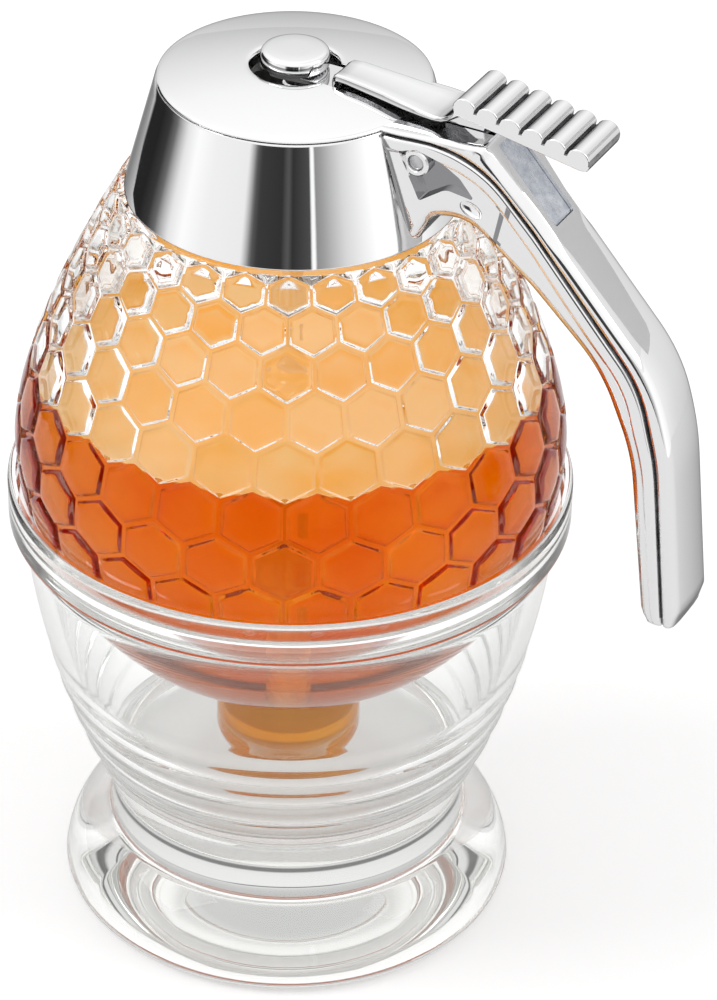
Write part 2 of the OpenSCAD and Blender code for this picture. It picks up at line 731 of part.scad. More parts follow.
module trigger_lever() {
    arm_side = [
        [tip_x, lid_z + 2.1], [tip_x + 1, lid_z + 3.5], [tip_x + 5.7, lid_z + 3.1],
        [pivot_x - 4.1, lid_z + 2.3], [pivot_x + 0.8, lid_z + 1.7], [pad_x - 3, lid_z + 2.4],
        [pad_x - 1.6, lid_z + 4], [pad_x - 0.4, pad_line(pad_x) + 0.6],
        [pad_x + 1.5, pad_line(pad_x) + 0.2],
        [pad_x + 1.5, pad_line(pad_x + 1.5) - 1], [pad_x + 0.4, pad_line(pad_x) - 1],
        [pad_x - 1.4, lid_z + 2.4], [pivot_x + 1.4, lid_z + 0.7], [pivot_x - 4.4, lid_z + 0.8],
        [tip_x + 3.9, dome_top(tip_x + 3.9) + 0.4], [tip_x + 1.2, dome_top(tip_x + 1.2) + 0.4],
        [tip_x + 1.2, prong_z], [tip_x, prong_z]
    ];
    fin_side = [
        [pivot_x - 1.4, pivot_z + 1.9], [slot_x0 + 0.5, pivot_z + 3.2],
        [slot_x0 + 0.5, lid_z + 1.2], [pad_x - 0.5, lid_z + 3.6],
        [fin_top_x + 0.2, lid_z + 3.6],
        [fin_top_x, lid_z - 0.4], [fin_top_x - 2, lid_z - 3], [pivot_x + 1.6, pivot_z - 1.8]
    ];
    pad_side = [
        [pad_x - 1, pad_line(pad_x - 1)], [pad_end + 1.6, pad_line(pad_end + 1.6)],
        [pad_end + 1.6, pad_line(pad_end + 1.6) - 0.5], [pad_end + 0.6, pad_line(pad_end + 0.6) - 1],
        [pad_x, pad_line(pad_x) - 1]
    ];
    pad_clip = [
        [pad_x - 5, pad_line(pad_x - 5) + 6], [pad_end + 5, pad_line(pad_end + 5) + 6],
        [pad_end + 5, pad_line(pad_end + 5) - 1], [pad_x - 5, pad_line(pad_x - 5) - 1]
    ];
    plan = [
        [6, -fork_w / 2], [10, -fork_w / 2], [24, -fork_w / 2 - 1], [pad_x - 1.4, -pad_w / 2],
        [pad_end + 5, -pad_w / 2], [pad_end + 5, pad_w / 2],
        [pad_x - 1.4, pad_w / 2], [24, fork_w / 2 + 1], [10, fork_w / 2], [6, fork_w / 2]
    ];
    color("whitesmoke")
    difference() {
        union() {
            intersection() {
                side_plate(arm_side, 2 * pad_w);
                translate([0, 0, lid_z])
                linear_extrude(height = 10)
                polygon(plan);
            }
            side_plate(fin_side, fin_w);
            rotate([90, 0, 0])
            translate([pivot_x, pivot_z, -fin_w / 2])
            cylinder(h = fin_w, r = hub_r);
            side_plate(pad_side, pad_w);
            intersection() {
                side_plate(pad_clip, pad_w + over);
                for (i = [0 : rib_n - 1])
                    rotate([90, 0, 0])
                    translate([pad_x + i * rib_pitch, pad_line(pad_x + i * rib_pitch), -pad_w / 2])
                    cylinder(h = pad_w, r = rib_r);
            }
            // The prongs that reach under the button
            translate([-prong_reach, -fork_w / 2, prong_z])
            cube([tip_x + 1.2 + prong_reach, fork_w, prong_t]);
        }
        // The slot between the prongs
        translate([-prong_reach - over, -rod_end_r - 0.3, prong_z - over])
        cube([prong_reach + rod_end_r + 2 + over, 2 * rod_end_r + 0.6, prong_t + 2 * over]);
        rotate([90, 0, 0])
        translate([pivot_x, pivot_z, -pad_w])
        cylinder(h = 2 * pad_w, r = pin_r + pin_clear);
    }
}

// ---------------------------------------------------------------- rod

module plunger_rod() {
    low_z = stopper_z - stopper_washer_t - nut_h;
    color("silver")
    difference() {
        union() {
            translate([0, 0, low_z])
            cylinder(h = carrier_z + carrier_t - low_z, r = rod_end_r);
            translate([0, 0, carrier_z + carrier_t])
            cylinder(h = rod_neck_z - carrier_z - carrier_t, r = rod_r);
            translate([0, 0, rod_neck_z])
            cylinder(h = button_z + button_h / 2 - rod_neck_z, r = rod_end_r);
        }
        translate([0, 0, clip_z - 0.02])
        ring(rod_r + over, rod_end_r, clip_t + 0.04);
    }
}

module lift_button() {
    dome_r = (button_r * button_r + button_dome * button_dome) / (2 * button_dome);
    color("whitesmoke")
    difference() {
        intersection() {
            translate([0, 0, button_z])
            cylinder(h = button_h, r = button_r);
            translate([0, 0, button_z + button_h - dome_r])
            sphere(r = dome_r);
        }
        translate([0, 0, button_z - over])
        cylinder(h = button_h / 2 + over + press, r = rod_end_r + press);
    }
}

module spring_collar() {
    color("silver")
    translate([0, 0, collar_z])
    ring(collar_r, rod_r + press, collar_t);
}

module collar_clip() {
    color("dimgray")
    translate([0, 0, clip_z])
    difference() {
        ring(rod_r + 1.6, rod_end_r + press, clip_t);
        translate([0, -0.9 * rod_end_r, -over])
        cube([rod_r + 3, 1.8 * rod_end_r, clip_t + 2 * over]);
    }
}

module stopper_carrier() {
    color("silver")
    translate([0, 0, carrier_z])
    ring(carrier_r, rod_end_r + press, carrier_t);
}

module stopper_cone() {
    pilot_r = outlet_r - stopper_gap;
    // The cone's face lies stopper_gap from the 45 degree seat
    cone_low_r = outlet_r - stopper_gap * sqrt(2);
    color("lightgray")
    rotate_extrude()
    polygon([
        [rod_end_r + press, stopper_z], [min(pilot_r, cone_low_r) - 0.3, stopper_z],
        [min(pilot_r, cone_low_r), cone_z], [cone_low_r + cone_h, cone_z + cone_h],
        [cone_low_r + cone_h, stopper_top_z], [rod_end_r + press, stopper_top_z]
    ]);
}

module stopper_washer() {
    color("silver")
    translate([0, 0, stopper_z - stopper_washer_t])
    ring(stopper_washer_r, rod_end_r + press, stopper_washer_t);
}

module stopper_nut() {
    color("silver")
    translate([0, 0, stopper_z - stopper_washer_t - nut_h])
    difference() {
        cylinder(h = nut_h, r = nut_flats / sqrt(3), $fn = 6);
        translate([0, 0, -over])
        cylinder(h = nut_h + 2 * over, r = rod_end_r + press);
    }
}

stand_cup();
jar();
lid_cover();
cap_body();
cover_screws();
thread_liner();
liner_screws();
neck_gasket();
guide_bush();
guide_seal();
spring_washer();
return_spring();
pivot_pin();
trigger_lever();
plunger_rod();
lift_button();
spring_collar();
collar_clip();
stopper_carrier();
stopper_cone();
stopper_washer();
stopper_nut();
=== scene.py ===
"""Looks of a honey dispenser: a honeycomb glass jar in a glass stand, with a
chromed lid, handle and thumb lever. Sizes below are millimetres in the part's
own frame: the origin is the centre of the stand's foot, +Z is up and +X points
to the handle. Meshes are made in metres."""

import logging
import math
from collections.abc import Callable, Sequence
from dataclasses import dataclass, field
from enum import Enum
from functools import cache

import bmesh
import bpy
from mathutils import Matrix, Vector


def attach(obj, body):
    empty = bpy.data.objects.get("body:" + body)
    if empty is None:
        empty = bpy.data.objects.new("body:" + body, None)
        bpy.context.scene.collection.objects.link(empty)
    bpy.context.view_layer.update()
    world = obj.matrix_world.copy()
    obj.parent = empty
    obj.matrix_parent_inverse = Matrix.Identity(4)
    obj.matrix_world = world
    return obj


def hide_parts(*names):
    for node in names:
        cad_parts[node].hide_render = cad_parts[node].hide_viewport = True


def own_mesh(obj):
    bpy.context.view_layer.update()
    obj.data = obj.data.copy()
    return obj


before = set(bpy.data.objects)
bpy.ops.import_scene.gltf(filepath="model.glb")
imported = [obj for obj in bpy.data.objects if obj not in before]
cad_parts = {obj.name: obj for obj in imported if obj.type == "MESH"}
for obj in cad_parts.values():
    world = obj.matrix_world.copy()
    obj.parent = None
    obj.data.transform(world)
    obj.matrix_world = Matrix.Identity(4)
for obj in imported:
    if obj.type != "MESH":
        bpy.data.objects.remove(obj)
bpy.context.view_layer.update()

LOG = logging.getLogger("honey_dispenser")
MM = 0.001
TURN = 2 * math.pi

# the colour mix node's sockets go by number, because its names are shared
MIX_A, MIX_B, MIX_RESULT = 6, 7, 2

Point = tuple[float, float]
Corner = tuple[float, float, float]
Colour = tuple[float, float, float]


# --------------------------------------------------------------- outlines


def cubic(a: Point, b: Point, c: Point, d: Point, steps: int) -> list[Point]:
    """Points on a cubic curve.

    Args:
        a: first point.
        b: first control point.
        c: second control point.
        d: last point.
        steps: number of spans.

    Returns:
        The points from a to d.
    """
    points = []
    for i in range(steps + 1):
        t = i / steps
        k = ((1 - t) ** 3, 3 * (1 - t) ** 2 * t, 3 * (1 - t) * t * t, t**3)
        points.append(
            (
                k[0] * a[0] + k[1] * b[0] + k[2] * c[0] + k[3] * d[0],
                k[0] * a[1] + k[1] * b[1] + k[2] * c[1] + k[3] * d[1],
            )
        )
    return points


def rounded(corners: Sequence[Corner], steps: int = 6, closed: bool = False) -> list[Point]:
    """An outline whose corners are arcs.

    Args:
        corners: points with a radius each; a radius of 0 keeps the corner.
        steps: spans of each arc.
        closed: whether the outline returns to its first point.

    Returns:
        The outline's points.
    """
    points: list[Point] = []
    count = len(corners)
    for i, (x, z, radius) in enumerate(corners):
        if radius == 0 or (not closed and i in (0, count - 1)):
            points.append((x, z))
            continue
        here = Vector((x, z))
        to_last = (Vector(corners[i - 1][:2]) - here).normalized()
        to_next = (Vector(corners[(i + 1) % count][:2]) - here).normalized()
        half = math.acos(max(-1.0, min(1.0, to_last.dot(to_next)))) / 2
        middle = (to_last + to_next).normalized()
        centre = here + middle * (radius / math.sin(half))
        side = -1 if to_last.x * to_next.y - to_last.y * to_next.x > 0 else 1
        sweep = math.pi - 2 * half
        for k in range(steps + 1):
            a = side * sweep * (0.5 - k / steps)
            spoke = -middle
            points.append(
                (
                    centre.x + radius * (spoke.x * math.cos(a) + spoke.y * math.sin(a)),
                    centre.y + radius * (spoke.y * math.cos(a) - spoke.x * math.sin(a)),
                )
            )
    return points


def share_of(value: float, start: float, span: float) -> float:
    """How far a value has come along a span, from 0 to 1."""
    return max(0.0, min(1.0, (value - start) / span))


def along(points: Sequence[Point], share: float) -> Point:
    """The point that lies a share of the way along an outline.

    Args:
        points: the outline.
        share: from 0 at its start to 1 at its end.

    Returns:
        The point.
    """
    lengths = [math.dist(a, b) for a, b in zip(points, points[1:])]
    left = share * sum(lengths)
    for a, b, length in zip(points, points[1:], lengths):
        if left <= length and length > 0:
            t = left / length
            return a[0] + t * (b[0] - a[0]), a[1] + t * (b[1] - a[1])
        left -= length
    return points[-1]


# ----------------------------------------------------------------- meshes


def turned(outline: Sequence[Point], steps: int = 96, closed: bool = False) -> bmesh.types.BMesh:
    """Spins an outline of (radius, height) about the jar's axis.

    Args:
        outline: the points, in mm.
        steps: spans round the axis.
        closed: whether the last point joins the first.

    Returns:
        The mesh, with its normals outward.
    """
    bm = bmesh.new()
    verts = [bm.verts.new((r * MM, 0, z * MM)) for r, z in outline]
    edges = [bm.edges.new(pair) for pair in zip(verts, verts[1:])]
    if closed:
        edges.append(bm.edges.new((verts[-1], verts[0])))
    bmesh.ops.spin(
        bm, geom=verts + edges, cent=(0, 0, 0), axis=(0, 0, 1), angle=TURN, steps=steps, use_merge=True
    )
    tidy(bm)
    return bm


def tidy(bm: bmesh.types.BMesh, gap: float = 1e-7) -> None:
    """Merges doubled vertices and points the faces outward."""
    bmesh.ops.remove_doubles(bm, verts=bm.verts, dist=gap)
    bmesh.ops.dissolve_degenerate(bm, edges=bm.edges, dist=1e-8)
    bmesh.ops.recalc_face_normals(bm, faces=bm.faces)
    if bm.calc_volume(signed=True) < 0:
        bmesh.ops.reverse_faces(bm, faces=bm.faces)


def grow_ring(
    bm: bmesh.types.BMesh, ring: list, edges: list, places: Sequence[Vector]
) -> tuple[list, list]:
    """Extrudes a ring of edges and puts the new ring at given places.

    Args:
        bm: the mesh.
        ring: the ring's vertices in order.
        edges: the ring's edges.
        places: one place for each vertex, in metres.

    Returns:
        The new ring's vertices and edges.
    """
    grown = bmesh.ops.extrude_edge_only(bm, edges=edges)["geom"]
    fresh = {item for item in grown if isinstance(item, bmesh.types.BMVert)}
    follow = []
    for vert in ring:
        follow.append(next(e.other_vert(vert) for e in vert.link_edges if e.other_vert(vert) in fresh))
    for vert, place in zip(follow, places):
        vert.co = place
    kept = [
        item
        for item in grown
        if isinstance(item, bmesh.types.BMEdge) and item.verts[0] in fresh and item.verts[1] in fresh
    ]
    return follow, kept


def lofted(sections: Sequence[Sequence[Vector]]) -> bmesh.types.BMesh:
    """A closed solid through rings of equal length.

    Args:
        sections: the rings' points, in metres.

    Returns:
        The mesh, with its normals outward.
    """
    bm = bmesh.new()
    ring = [bm.verts.new(place) for place in sections[0]]
    edges = [bm.edges.new((ring[i - 1], ring[i])) for i in range(len(ring))]
    bmesh.ops.contextual_create(bm, geom=edges)
    for places in sections[1:]:
        ring, edges = grow_ring(bm, ring, edges, places)
    bmesh.ops.contextual_create(bm, geom=edges)
    tidy(bm)
    return bm


def plate(
    outline: Sequence[Point], low: float, high: float, to_place: Callable[[float, float, float], Vector],
    bevel: float = 0.0, segments: int = 3,
) -> bmesh.types.BMesh:
    """A flat outline made thick, with rounded edges round both faces.

    Args:
        outline: the points, in mm.
        low: depth of the first face, in mm.
        high: depth of the second face, in mm.
        to_place: turns an outline point and a depth into a place in mm.
        bevel: radius of the edges round both faces, in mm.
        segments: spans of each rounded edge.

    Returns:
        The mesh, with its normals outward.
    """
    bm = bmesh.new()
    verts = [bm.verts.new(to_place(a, b, low) * MM) for a, b in outline]
    edges = [bm.edges.new((verts[i - 1], verts[i])) for i in range(len(verts))]
    bmesh.ops.contextual_create(bm, geom=edges)
    made = bmesh.ops.extrude_face_region(bm, geom=list(bm.faces))
    lift = (to_place(0, 0, high) - to_place(0, 0, low)) * MM
    moved = [item for item in made["geom"] if isinstance(item, bmesh.types.BMVert)]
    bmesh.ops.translate(bm, verts=moved, vec=lift)
    bmesh.ops.recalc_face_normals(bm, faces=bm.faces)
    if bevel > 0:
        faces = sorted(bm.faces, key=lambda f: len(f.verts))[-2:]
        rims = {edge for face in faces for edge in face.edges}
        bmesh.ops.bevel(
            bm, geom=list(rims), offset=bevel * MM, offset_type="OFFSET", segments=segments,
            profile=0.5, affect="EDGES", clamp_overlap=True, material=-1,
        )
    tidy(bm)
    return bm


def upright(x: float, z: float, y: float) -> Vector:
    """Puts an outline of (x, z) at depth y."""
    return Vector((x, y, z))


def level(x: float, y: float, z: float) -> Vector:
    """Puts an outline of (x, y) at height z."""
    return Vector((x, y, z))


def joined(parts: Sequence[bmesh.types.BMesh]) -> bmesh.types.BMesh:
    """Puts several meshes into one and frees them.

    Args:
        parts: the meshes.

    Returns:
        The mesh that holds them all.
    """
    whole = bmesh.new()
    for part in parts:
        mesh = bpy.data.meshes.new("part")
        part.to_mesh(mesh)
        part.free()
        whole.from_mesh(mesh)
        bpy.data.meshes.remove(mesh)
    return whole


def box(low: Sequence[float], high: Sequence[float]) -> bmesh.types.BMesh:
    """A box between two corners, in mm."""
    bm = bmesh.new()
    bmesh.ops.create_cube(bm, size=1)
    size = [(b - a) * MM for a, b in zip(low, high)]
    middle = [(a + b) / 2 * MM for a, b in zip(low, high)]
    bmesh.ops.scale(bm, vec=size, verts=bm.verts)
    bmesh.ops.translate(bm, vec=middle, verts=bm.verts)
    return bm


def post(middle: Sequence[float], radius: float, length: float, segments: int) -> bmesh.types.BMesh:
    """An upright round post about its middle, in mm."""
    bm = bmesh.new()
    bmesh.ops.create_cone(
        bm, cap_ends=True, segments=segments, radius1=radius * MM, radius2=radius * MM, depth=length * MM,
        matrix=Matrix.Translation(Vector(middle) * MM),
    )
    return bm


def lay_on_pivot(bm: bmesh.types.BMesh, pivot: Point, degrees: float = 90) -> None:
    """Tips a turned mesh over and puts it on the pivot's axis, given as (x, z)."""
    place = Matrix.Translation(Vector((pivot[0], 0, pivot[1])) * MM)
    turn = Matrix.Rotation(math.radians(degrees), 4, "X")
    bmesh.ops.transform(bm, matrix=place @ turn, verts=bm.verts)


def evaluated(obj: bpy.types.Object) -> bmesh.types.BMesh:
    """The mesh that an object's modifiers make; the object is removed.

    Args:
        obj: an object that is only a step on the way.

    Returns:
        A mesh with the modifiers' result.
    """
    bpy.context.view_layer.update()
    shown = obj.evaluated_get(bpy.context.evaluated_depsgraph_get())
    mesh = bpy.data.meshes.new_from_object(shown)
    bm = bmesh.new()
    bm.from_mesh(mesh)
    old = obj.data
    bpy.data.objects.remove(obj)
    bpy.data.meshes.remove(old)
    bpy.data.meshes.remove(mesh)
    return bm


def draft_object(bm: bmesh.types.BMesh, name: str) -> bpy.types.Object:
    """Puts a mesh into an object of its own and frees it."""
    mesh = bpy.data.meshes.new(name)
    bm.to_mesh(mesh)
    bm.free()
    obj = bpy.data.objects.new(name, mesh)
    bpy.context.scene.collection.objects.link(obj)
    return obj


def carved(bm: bmesh.types.BMesh, cutters: Sequence[bmesh.types.BMesh]) -> bmesh.types.BMesh:
    """Cuts closed shapes out of a closed shape.

    Args:
        bm: the shape that is cut.
        cutters: the shapes that are taken away.

    Returns:
        The shape that is left.
    """
    target = draft_object(bm, "carving")
    tools = []
    for i, cutter in enumerate(cutters):
        tidy(cutter)
        tool = draft_object(cutter, f"cutter_{i}")
        step = target.modifiers.new(f"cut_{i}", "BOOLEAN")
        step.operation = "DIFFERENCE"
        step.solver = "EXACT"
        step.object = tool
        tools.append(tool)
    result = evaluated(target)
    for tool in tools:
        old = tool.data
        bpy.data.objects.remove(tool)
        bpy.data.meshes.remove(old)
    return result


# --------------------------------------------------------------- finishes


class Wiring:
    """Adds and links the nodes of one node tree."""

    def __init__(self, tree: bpy.types.NodeTree) -> None:
        """Takes the tree to work in."""
        self.tree = tree

    def fill(self, node: bpy.types.Node, **values: object) -> None:
        """Sets a node's inputs and properties.

        Args:
            node: the node.
            values: inputs or properties by name; a colour may leave out its alpha.
        """
        for name, value in values.items():
            label = name.replace("_", " ").title().replace("Ior", "IOR")
            if label not in node.inputs:
                setattr(node, name, value)
                continue
            socket = node.inputs[label]
            plain_colour = socket.type == "RGBA" and len(value) == 3
            socket.default_value = (*value, 1) if plain_colour else value

    def add(self, kind: str, **values: object) -> bpy.types.Node:
        """Adds a node of a kind and sets its inputs and properties."""
        node = self.tree.nodes.new(kind)
        self.fill(node, **values)
        return node

    def link(self, a: bpy.types.Node, out: str | int, b: bpy.types.Node, into: str | int) -> None:
        """Links an output to an input, by name or by number."""
        self.tree.links.new(a.outputs[out], b.inputs[into])


class Groups:
    """The shader node groups that several finishes share; each is made once."""

    @staticmethod
    def start(
        name: str, inputs: dict[str, float], outputs: dict[str, str], colours: Sequence[str] = ()
    ) -> tuple[Wiring, bpy.types.Node, bpy.types.Node]:
        """Makes a group with a vector input and named inputs and outputs.

        Args:
            name: the group's name.
            inputs: number inputs with their defaults.
            outputs: outputs with their kinds of socket.
            colours: colour inputs.

        Returns:
            The group's wiring, its input node and its output node.
        """
        tree = bpy.data.node_groups.new(name, "ShaderNodeTree")
        tree.interface.new_socket("Vector", in_out="INPUT", socket_type="NodeSocketVector")
        for label, value in inputs.items():
            socket = tree.interface.new_socket(label, in_out="INPUT", socket_type="NodeSocketFloat")
            socket.default_value = value
        for label in colours:
            tree.interface.new_socket(label, in_out="INPUT", socket_type="NodeSocketColor")
        for label, kind in outputs.items():
            tree.interface.new_socket(label, in_out="OUTPUT", socket_type=kind)
        w = Wiring(tree)
        return w, w.add("NodeGroupInput"), w.add("NodeGroupOutput")

    @staticmethod
    @cache
    def smudge() -> bpy.types.NodeTree:
        """Soft patches between two values, as handling leaves on a polished face."""
        w, start, end = Groups.start(
            "smudge", {"Scale": 60, "Low": 0.02, "High": 0.1}, {"Value": "NodeSocketFloat"}
        )
        noise = w.add("ShaderNodeTexNoise", detail=5, roughness=0.6)
        spread = w.add("ShaderNodeMapRange", from_min=0.38, from_max=0.72)
        w.link(start, "Vector", noise, "Vector")
        w.link(start, "Scale", noise, "Scale")
        w.link(noise, "Fac", spread, "Value")
        w.link(start, "Low", spread, "To Min")
        w.link(start, "High", spread, "To Max")
        w.link(spread, "Result", end, "Value")
        return w.tree

    @staticmethod
    @cache
    def ripple() -> bpy.types.NodeTree:
        """A shallow uneven height, as cast and pressed faces have."""
        w, start, end = Groups.start("ripple", {"Scale": 40, "Fine": 0.3}, {"Height": "NodeSocketFloat"})
        broad = w.add("ShaderNodeTexNoise", detail=1)
        fine = w.add("ShaderNodeTexNoise", detail=3)
        finer = w.add("ShaderNodeMath", operation="MULTIPLY")
        finer.inputs[1].default_value = 9
        share = w.add("ShaderNodeMath", operation="MULTIPLY")
        total = w.add("ShaderNodeMath", operation="ADD")
        w.link(start, "Vector", broad, "Vector")
        w.link(start, "Vector", fine, "Vector")
        w.link(start, "Scale", broad, "Scale")
        w.link(start, "Scale", finer, 0)
        w.link(finer, 0, fine, "Scale")
        w.link(fine, "Fac", share, 0)
        w.link(start, "Fine", share, 1)
        w.link(broad, "Fac", total, 0)
        w.link(share, 0, total, 1)
        w.link(total, 0, end, "Height")
        return w.tree

    @staticmethod
    @cache
    def lathe_marks() -> bpy.types.NodeTree:
        """Fine rings round the jar's axis, as turned metal has."""
        w, start, end = Groups.start(
            "lathe_marks", {"Scale": 900, "Low": 0.2, "High": 0.4},
            {"Value": "NodeSocketFloat", "Height": "NodeSocketFloat"},
        )
        parts = w.add("ShaderNodeSeparateXYZ")
        flat = w.add("ShaderNodeCombineXYZ")
        radius = w.add("ShaderNodeVectorMath", operation="LENGTH")
        place = w.add("ShaderNodeMath", operation="ADD")
        times = w.add("ShaderNodeMath", operation="MULTIPLY")
        noise = w.add("ShaderNodeTexNoise", noise_dimensions="1D", detail=4)
        spread = w.add("ShaderNodeMapRange", from_min=0.3, from_max=0.7)
        w.link(start, "Vector", parts, "Vector")
        w.link(parts, "X", flat, "X")
        w.link(parts, "Y", flat, "Y")
        w.link(flat, 0, radius, 0)
        w.link(radius, "Value", place, 0)
        w.link(parts, "Z", place, 1)
        w.link(place, 0, times, 0)
        w.link(start, "Scale", times, 1)
        w.link(times, 0, noise, "W")
        w.link(noise, "Fac", spread, "Value")
        w.link(start, "Low", spread, "To Min")
        w.link(start, "High", spread, "To Max")
        w.link(spread, "Result", end, "Value")
        w.link(noise, "Fac", end, "Height")
        return w.tree

    @staticmethod
    @cache
    def mottle() -> bpy.types.NodeTree:
        """Two colours in cloudy patches."""
        w, start, end = Groups.start(
            "mottle", {"Scale": 200, "Detail": 6}, {"Colour": "NodeSocketColor"}, colours=("Light", "Dark")
        )
        noise = w.add("ShaderNodeTexNoise", roughness=0.65)
        spread = w.add("ShaderNodeMapRange", from_min=0.35, from_max=0.65)
        mix = w.add("ShaderNodeMix", data_type="RGBA")
        for label in ("Vector", "Scale", "Detail"):
            w.link(start, label, noise, label)
        w.link(noise, "Fac", spread, "Value")
        w.link(spread, "Result", mix, "Factor")
        w.link(start, "Dark", mix, MIX_A)
        w.link(start, "Light", mix, MIX_B)
        w.link(mix, MIX_RESULT, end, "Colour")
        return w.tree


def placed_group(w: Wiring, tree: bpy.types.NodeTree, **values: object) -> bpy.types.Node:
    """Adds a shared group that reads object coordinates.

    Args:
        w: the material's wiring.
        tree: the shared group.
        values: the group's inputs by name, in small letters.

    Returns:
        The group's node.
    """
    node = w.add("ShaderNodeGroup", node_tree=tree)
    w.fill(node, **values)
    places = w.add("ShaderNodeTexCoord")
    w.link(places, "Object", node, "Vector")
    return node


def new_material(name: str, **values: object) -> tuple[bpy.types.Material, Wiring, bpy.types.Node]:
    """A material with its own Principled shader.

    Args:
        name: the material's name.
        values: the shader's inputs by name, in small letters.

    Returns:
        The material, its wiring and its shader.
    """
    material = bpy.data.materials.new(name)
    material.use_nodes = True
    w = Wiring(material.node_tree)
    shader = next(n for n in material.node_tree.nodes if n.type == "BSDF_PRINCIPLED")
    w.fill(shader, **values)
    return material, w, shader


def roughen(w: Wiring, shader: bpy.types.Node, scale: float, low: float, high: float) -> None:
    """Feeds smudges into the shader's roughness.

    Args:
        w: the material's wiring.
        shader: the shader.
        scale: how many patches a metre holds.
        low: the roughness of the cleanest places.
        high: the roughness of the most handled ones.
    """
    w.link(placed_group(w, Groups.smudge(), scale=scale, low=low, high=high), "Value", shader, "Roughness")


def bump_from(
    w: Wiring, shader: bpy.types.Node, source: bpy.types.Node, strength: float, depth: float
) -> None:
    """Feeds a height into the shader's normal.

    Args:
        w: the material's wiring.
        shader: the shader.
        source: a node with a Height output.
        strength: the bump's strength.
        depth: the height of a full step, in metres.
    """
    bump = w.add("ShaderNodeBump", strength=strength, distance=depth)
    w.link(source, "Height", bump, "Height")
    w.link(bump, "Normal", shader, "Normal")


def deepen(w: Wiring, material: bpy.types.Material, lets_through: Colour, density: float) -> None:
    """Makes a clear finish darker with its depth.

    Args:
        w: the material's wiring.
        material: the material.
        lets_through: the colour that passes.
        density: how fast the rest is lost, per metre.
    """
    depth = w.add("ShaderNodeVolumeAbsorption", color=lets_through, density=density)
    end = next(n for n in material.node_tree.nodes if n.type == "OUTPUT_MATERIAL")
    w.link(depth, "Volume", end, "Volume")


@dataclass(frozen=True)
class Chrome:
    """Mirror chrome on a casting: soft smudges and a faint unevenness."""

    name: str
    tint: Colour = (0.9, 0.9, 0.905)
    # painted shade: edge tints the mirror image dark where the face turns from the eye, which draws dark outlines
    edge: float = 0.28
    low: float = 0.015
    high: float = 0.06
    ripple_depth: float = 0.00006

    def material(self) -> bpy.types.Material:
        """The finish as a material."""
        material, w, shader = new_material(
            self.name, base_color=self.tint, metallic=1, specular_tint=(self.edge, self.edge, self.edge)
        )
        roughen(w, shader, 70, self.low, self.high)
        bump_from(w, shader, placed_group(w, Groups.ripple(), scale=45, fine=0.06), 0.35, self.ripple_depth)
        return material


@dataclass(frozen=True)
class MottledMetal:
    """Satin metal with cloudy patches of two colours."""

    name: str
    light: Colour
    dark: Colour

    def material(self) -> bpy.types.Material:
        """The finish as a material."""
        material, w, shader = new_material(self.name, metallic=0.85)
        colours = placed_group(w, Groups.mottle(), scale=420, light=self.light, dark=self.dark)
        w.link(colours, "Colour", shader, "Base Color")
        roughen(w, shader, 500, 0.22, 0.42)
        bump_from(w, shader, placed_group(w, Groups.ripple(), scale=500, fine=0.5), 0.3, 0.00004)
        return material


@dataclass(frozen=True)
class ClearGlass:
    """Pressed glass with a faint waviness and a trace of handling.

    Shine is the share of its mirror image that is kept, and edge its colour where the wall turns from the eye, a
    painted shade that draws dark streaks along its edges.
    """

    name: str
    tint: Colour = (0.985, 0.995, 0.99)
    shine: float = 1.0
    index: float = 1.5
    edge: Colour = (0.45, 0.46, 0.45)
    wave_scale: float = 30
    wave_depth: float = 0.00012
    lets_through: Colour = (1.0, 1.0, 1.0)
    density: float = 100

    def material(self) -> bpy.types.Material:
        """The finish as a material."""
        shine = (self.shine, self.shine, self.shine)
        material, w, shader = new_material(
            self.name, transmission_weight=1, metallic=0, ior=self.index, specular_tint=shine
        )
        # painted shade: the colour turns to edge where the wall turns from the eye, for dark streaks along the
        # glass's edges
        turned_away = w.add("ShaderNodeLayerWeight", blend=0.5)
        share = w.add("ShaderNodeMath", operation="POWER")
        share.inputs[1].default_value = 2
        colour = w.add("ShaderNodeMix", data_type="RGBA")
        colour.inputs[MIX_A].default_value = (*self.tint, 1)
        colour.inputs[MIX_B].default_value = (*self.edge, 1)
        w.link(turned_away, "Facing", share, 0)
        w.link(share, 0, colour, "Factor")
        w.link(colour, MIX_RESULT, shader, "Base Color")
        roughen(w, shader, 35, 0.0, 0.012)
        waves = placed_group(w, Groups.ripple(), scale=self.wave_scale, fine=0.02)
        bump_from(w, shader, waves, 0.25, self.wave_depth)
        if min(self.lets_through) < 1:
            deepen(w, material, self.lets_through, self.density)
        return material


@dataclass(frozen=True)
class Honey:
    """Clear amber honey: its colour comes from its depth, and where glow is set, also from a painted glow of its
    own.

    Cloud is a second tint that lies over it in patches.
    """

    name: str
    tint: Colour = (1.0, 0.97, 0.8)
    shine: Colour = (0.3, 0.1, 0.02)
    clear: float = 1.0
    glow: float = 0.0
    cloud: Colour = (0.86, 0.46, 0.3)
    patches: float = 45
    low: float = 0.0
    high: float = 0.02
    lets_through: Colour = (0.978, 0.882, 0.01)
    density: float = 240
    index: float = 1.48

    def material(self) -> bpy.types.Material:
        """The finish as a material."""
        material, w, shader = new_material(
            self.name, specular_tint=self.shine, transmission_weight=self.clear, metallic=0, ior=self.index,
            emission_strength=self.glow,
        )
        roughen(w, shader, 60, self.low, self.high)
        bump_from(w, shader, placed_group(w, Groups.ripple(), scale=55, fine=0.0), 0.2, 0.0002)
        colours = placed_group(
            w, Groups.mottle(), scale=self.patches, detail=1.5, light=self.cloud, dark=self.tint
        )
        w.link(colours, "Colour", shader, "Base Color")
        # painted glow: the honey's colours also feed its emission, at the glow's strength
        w.link(colours, "Colour", shader, "Emission Color")
        deepen(w, material, self.lets_through, self.density)
        return material


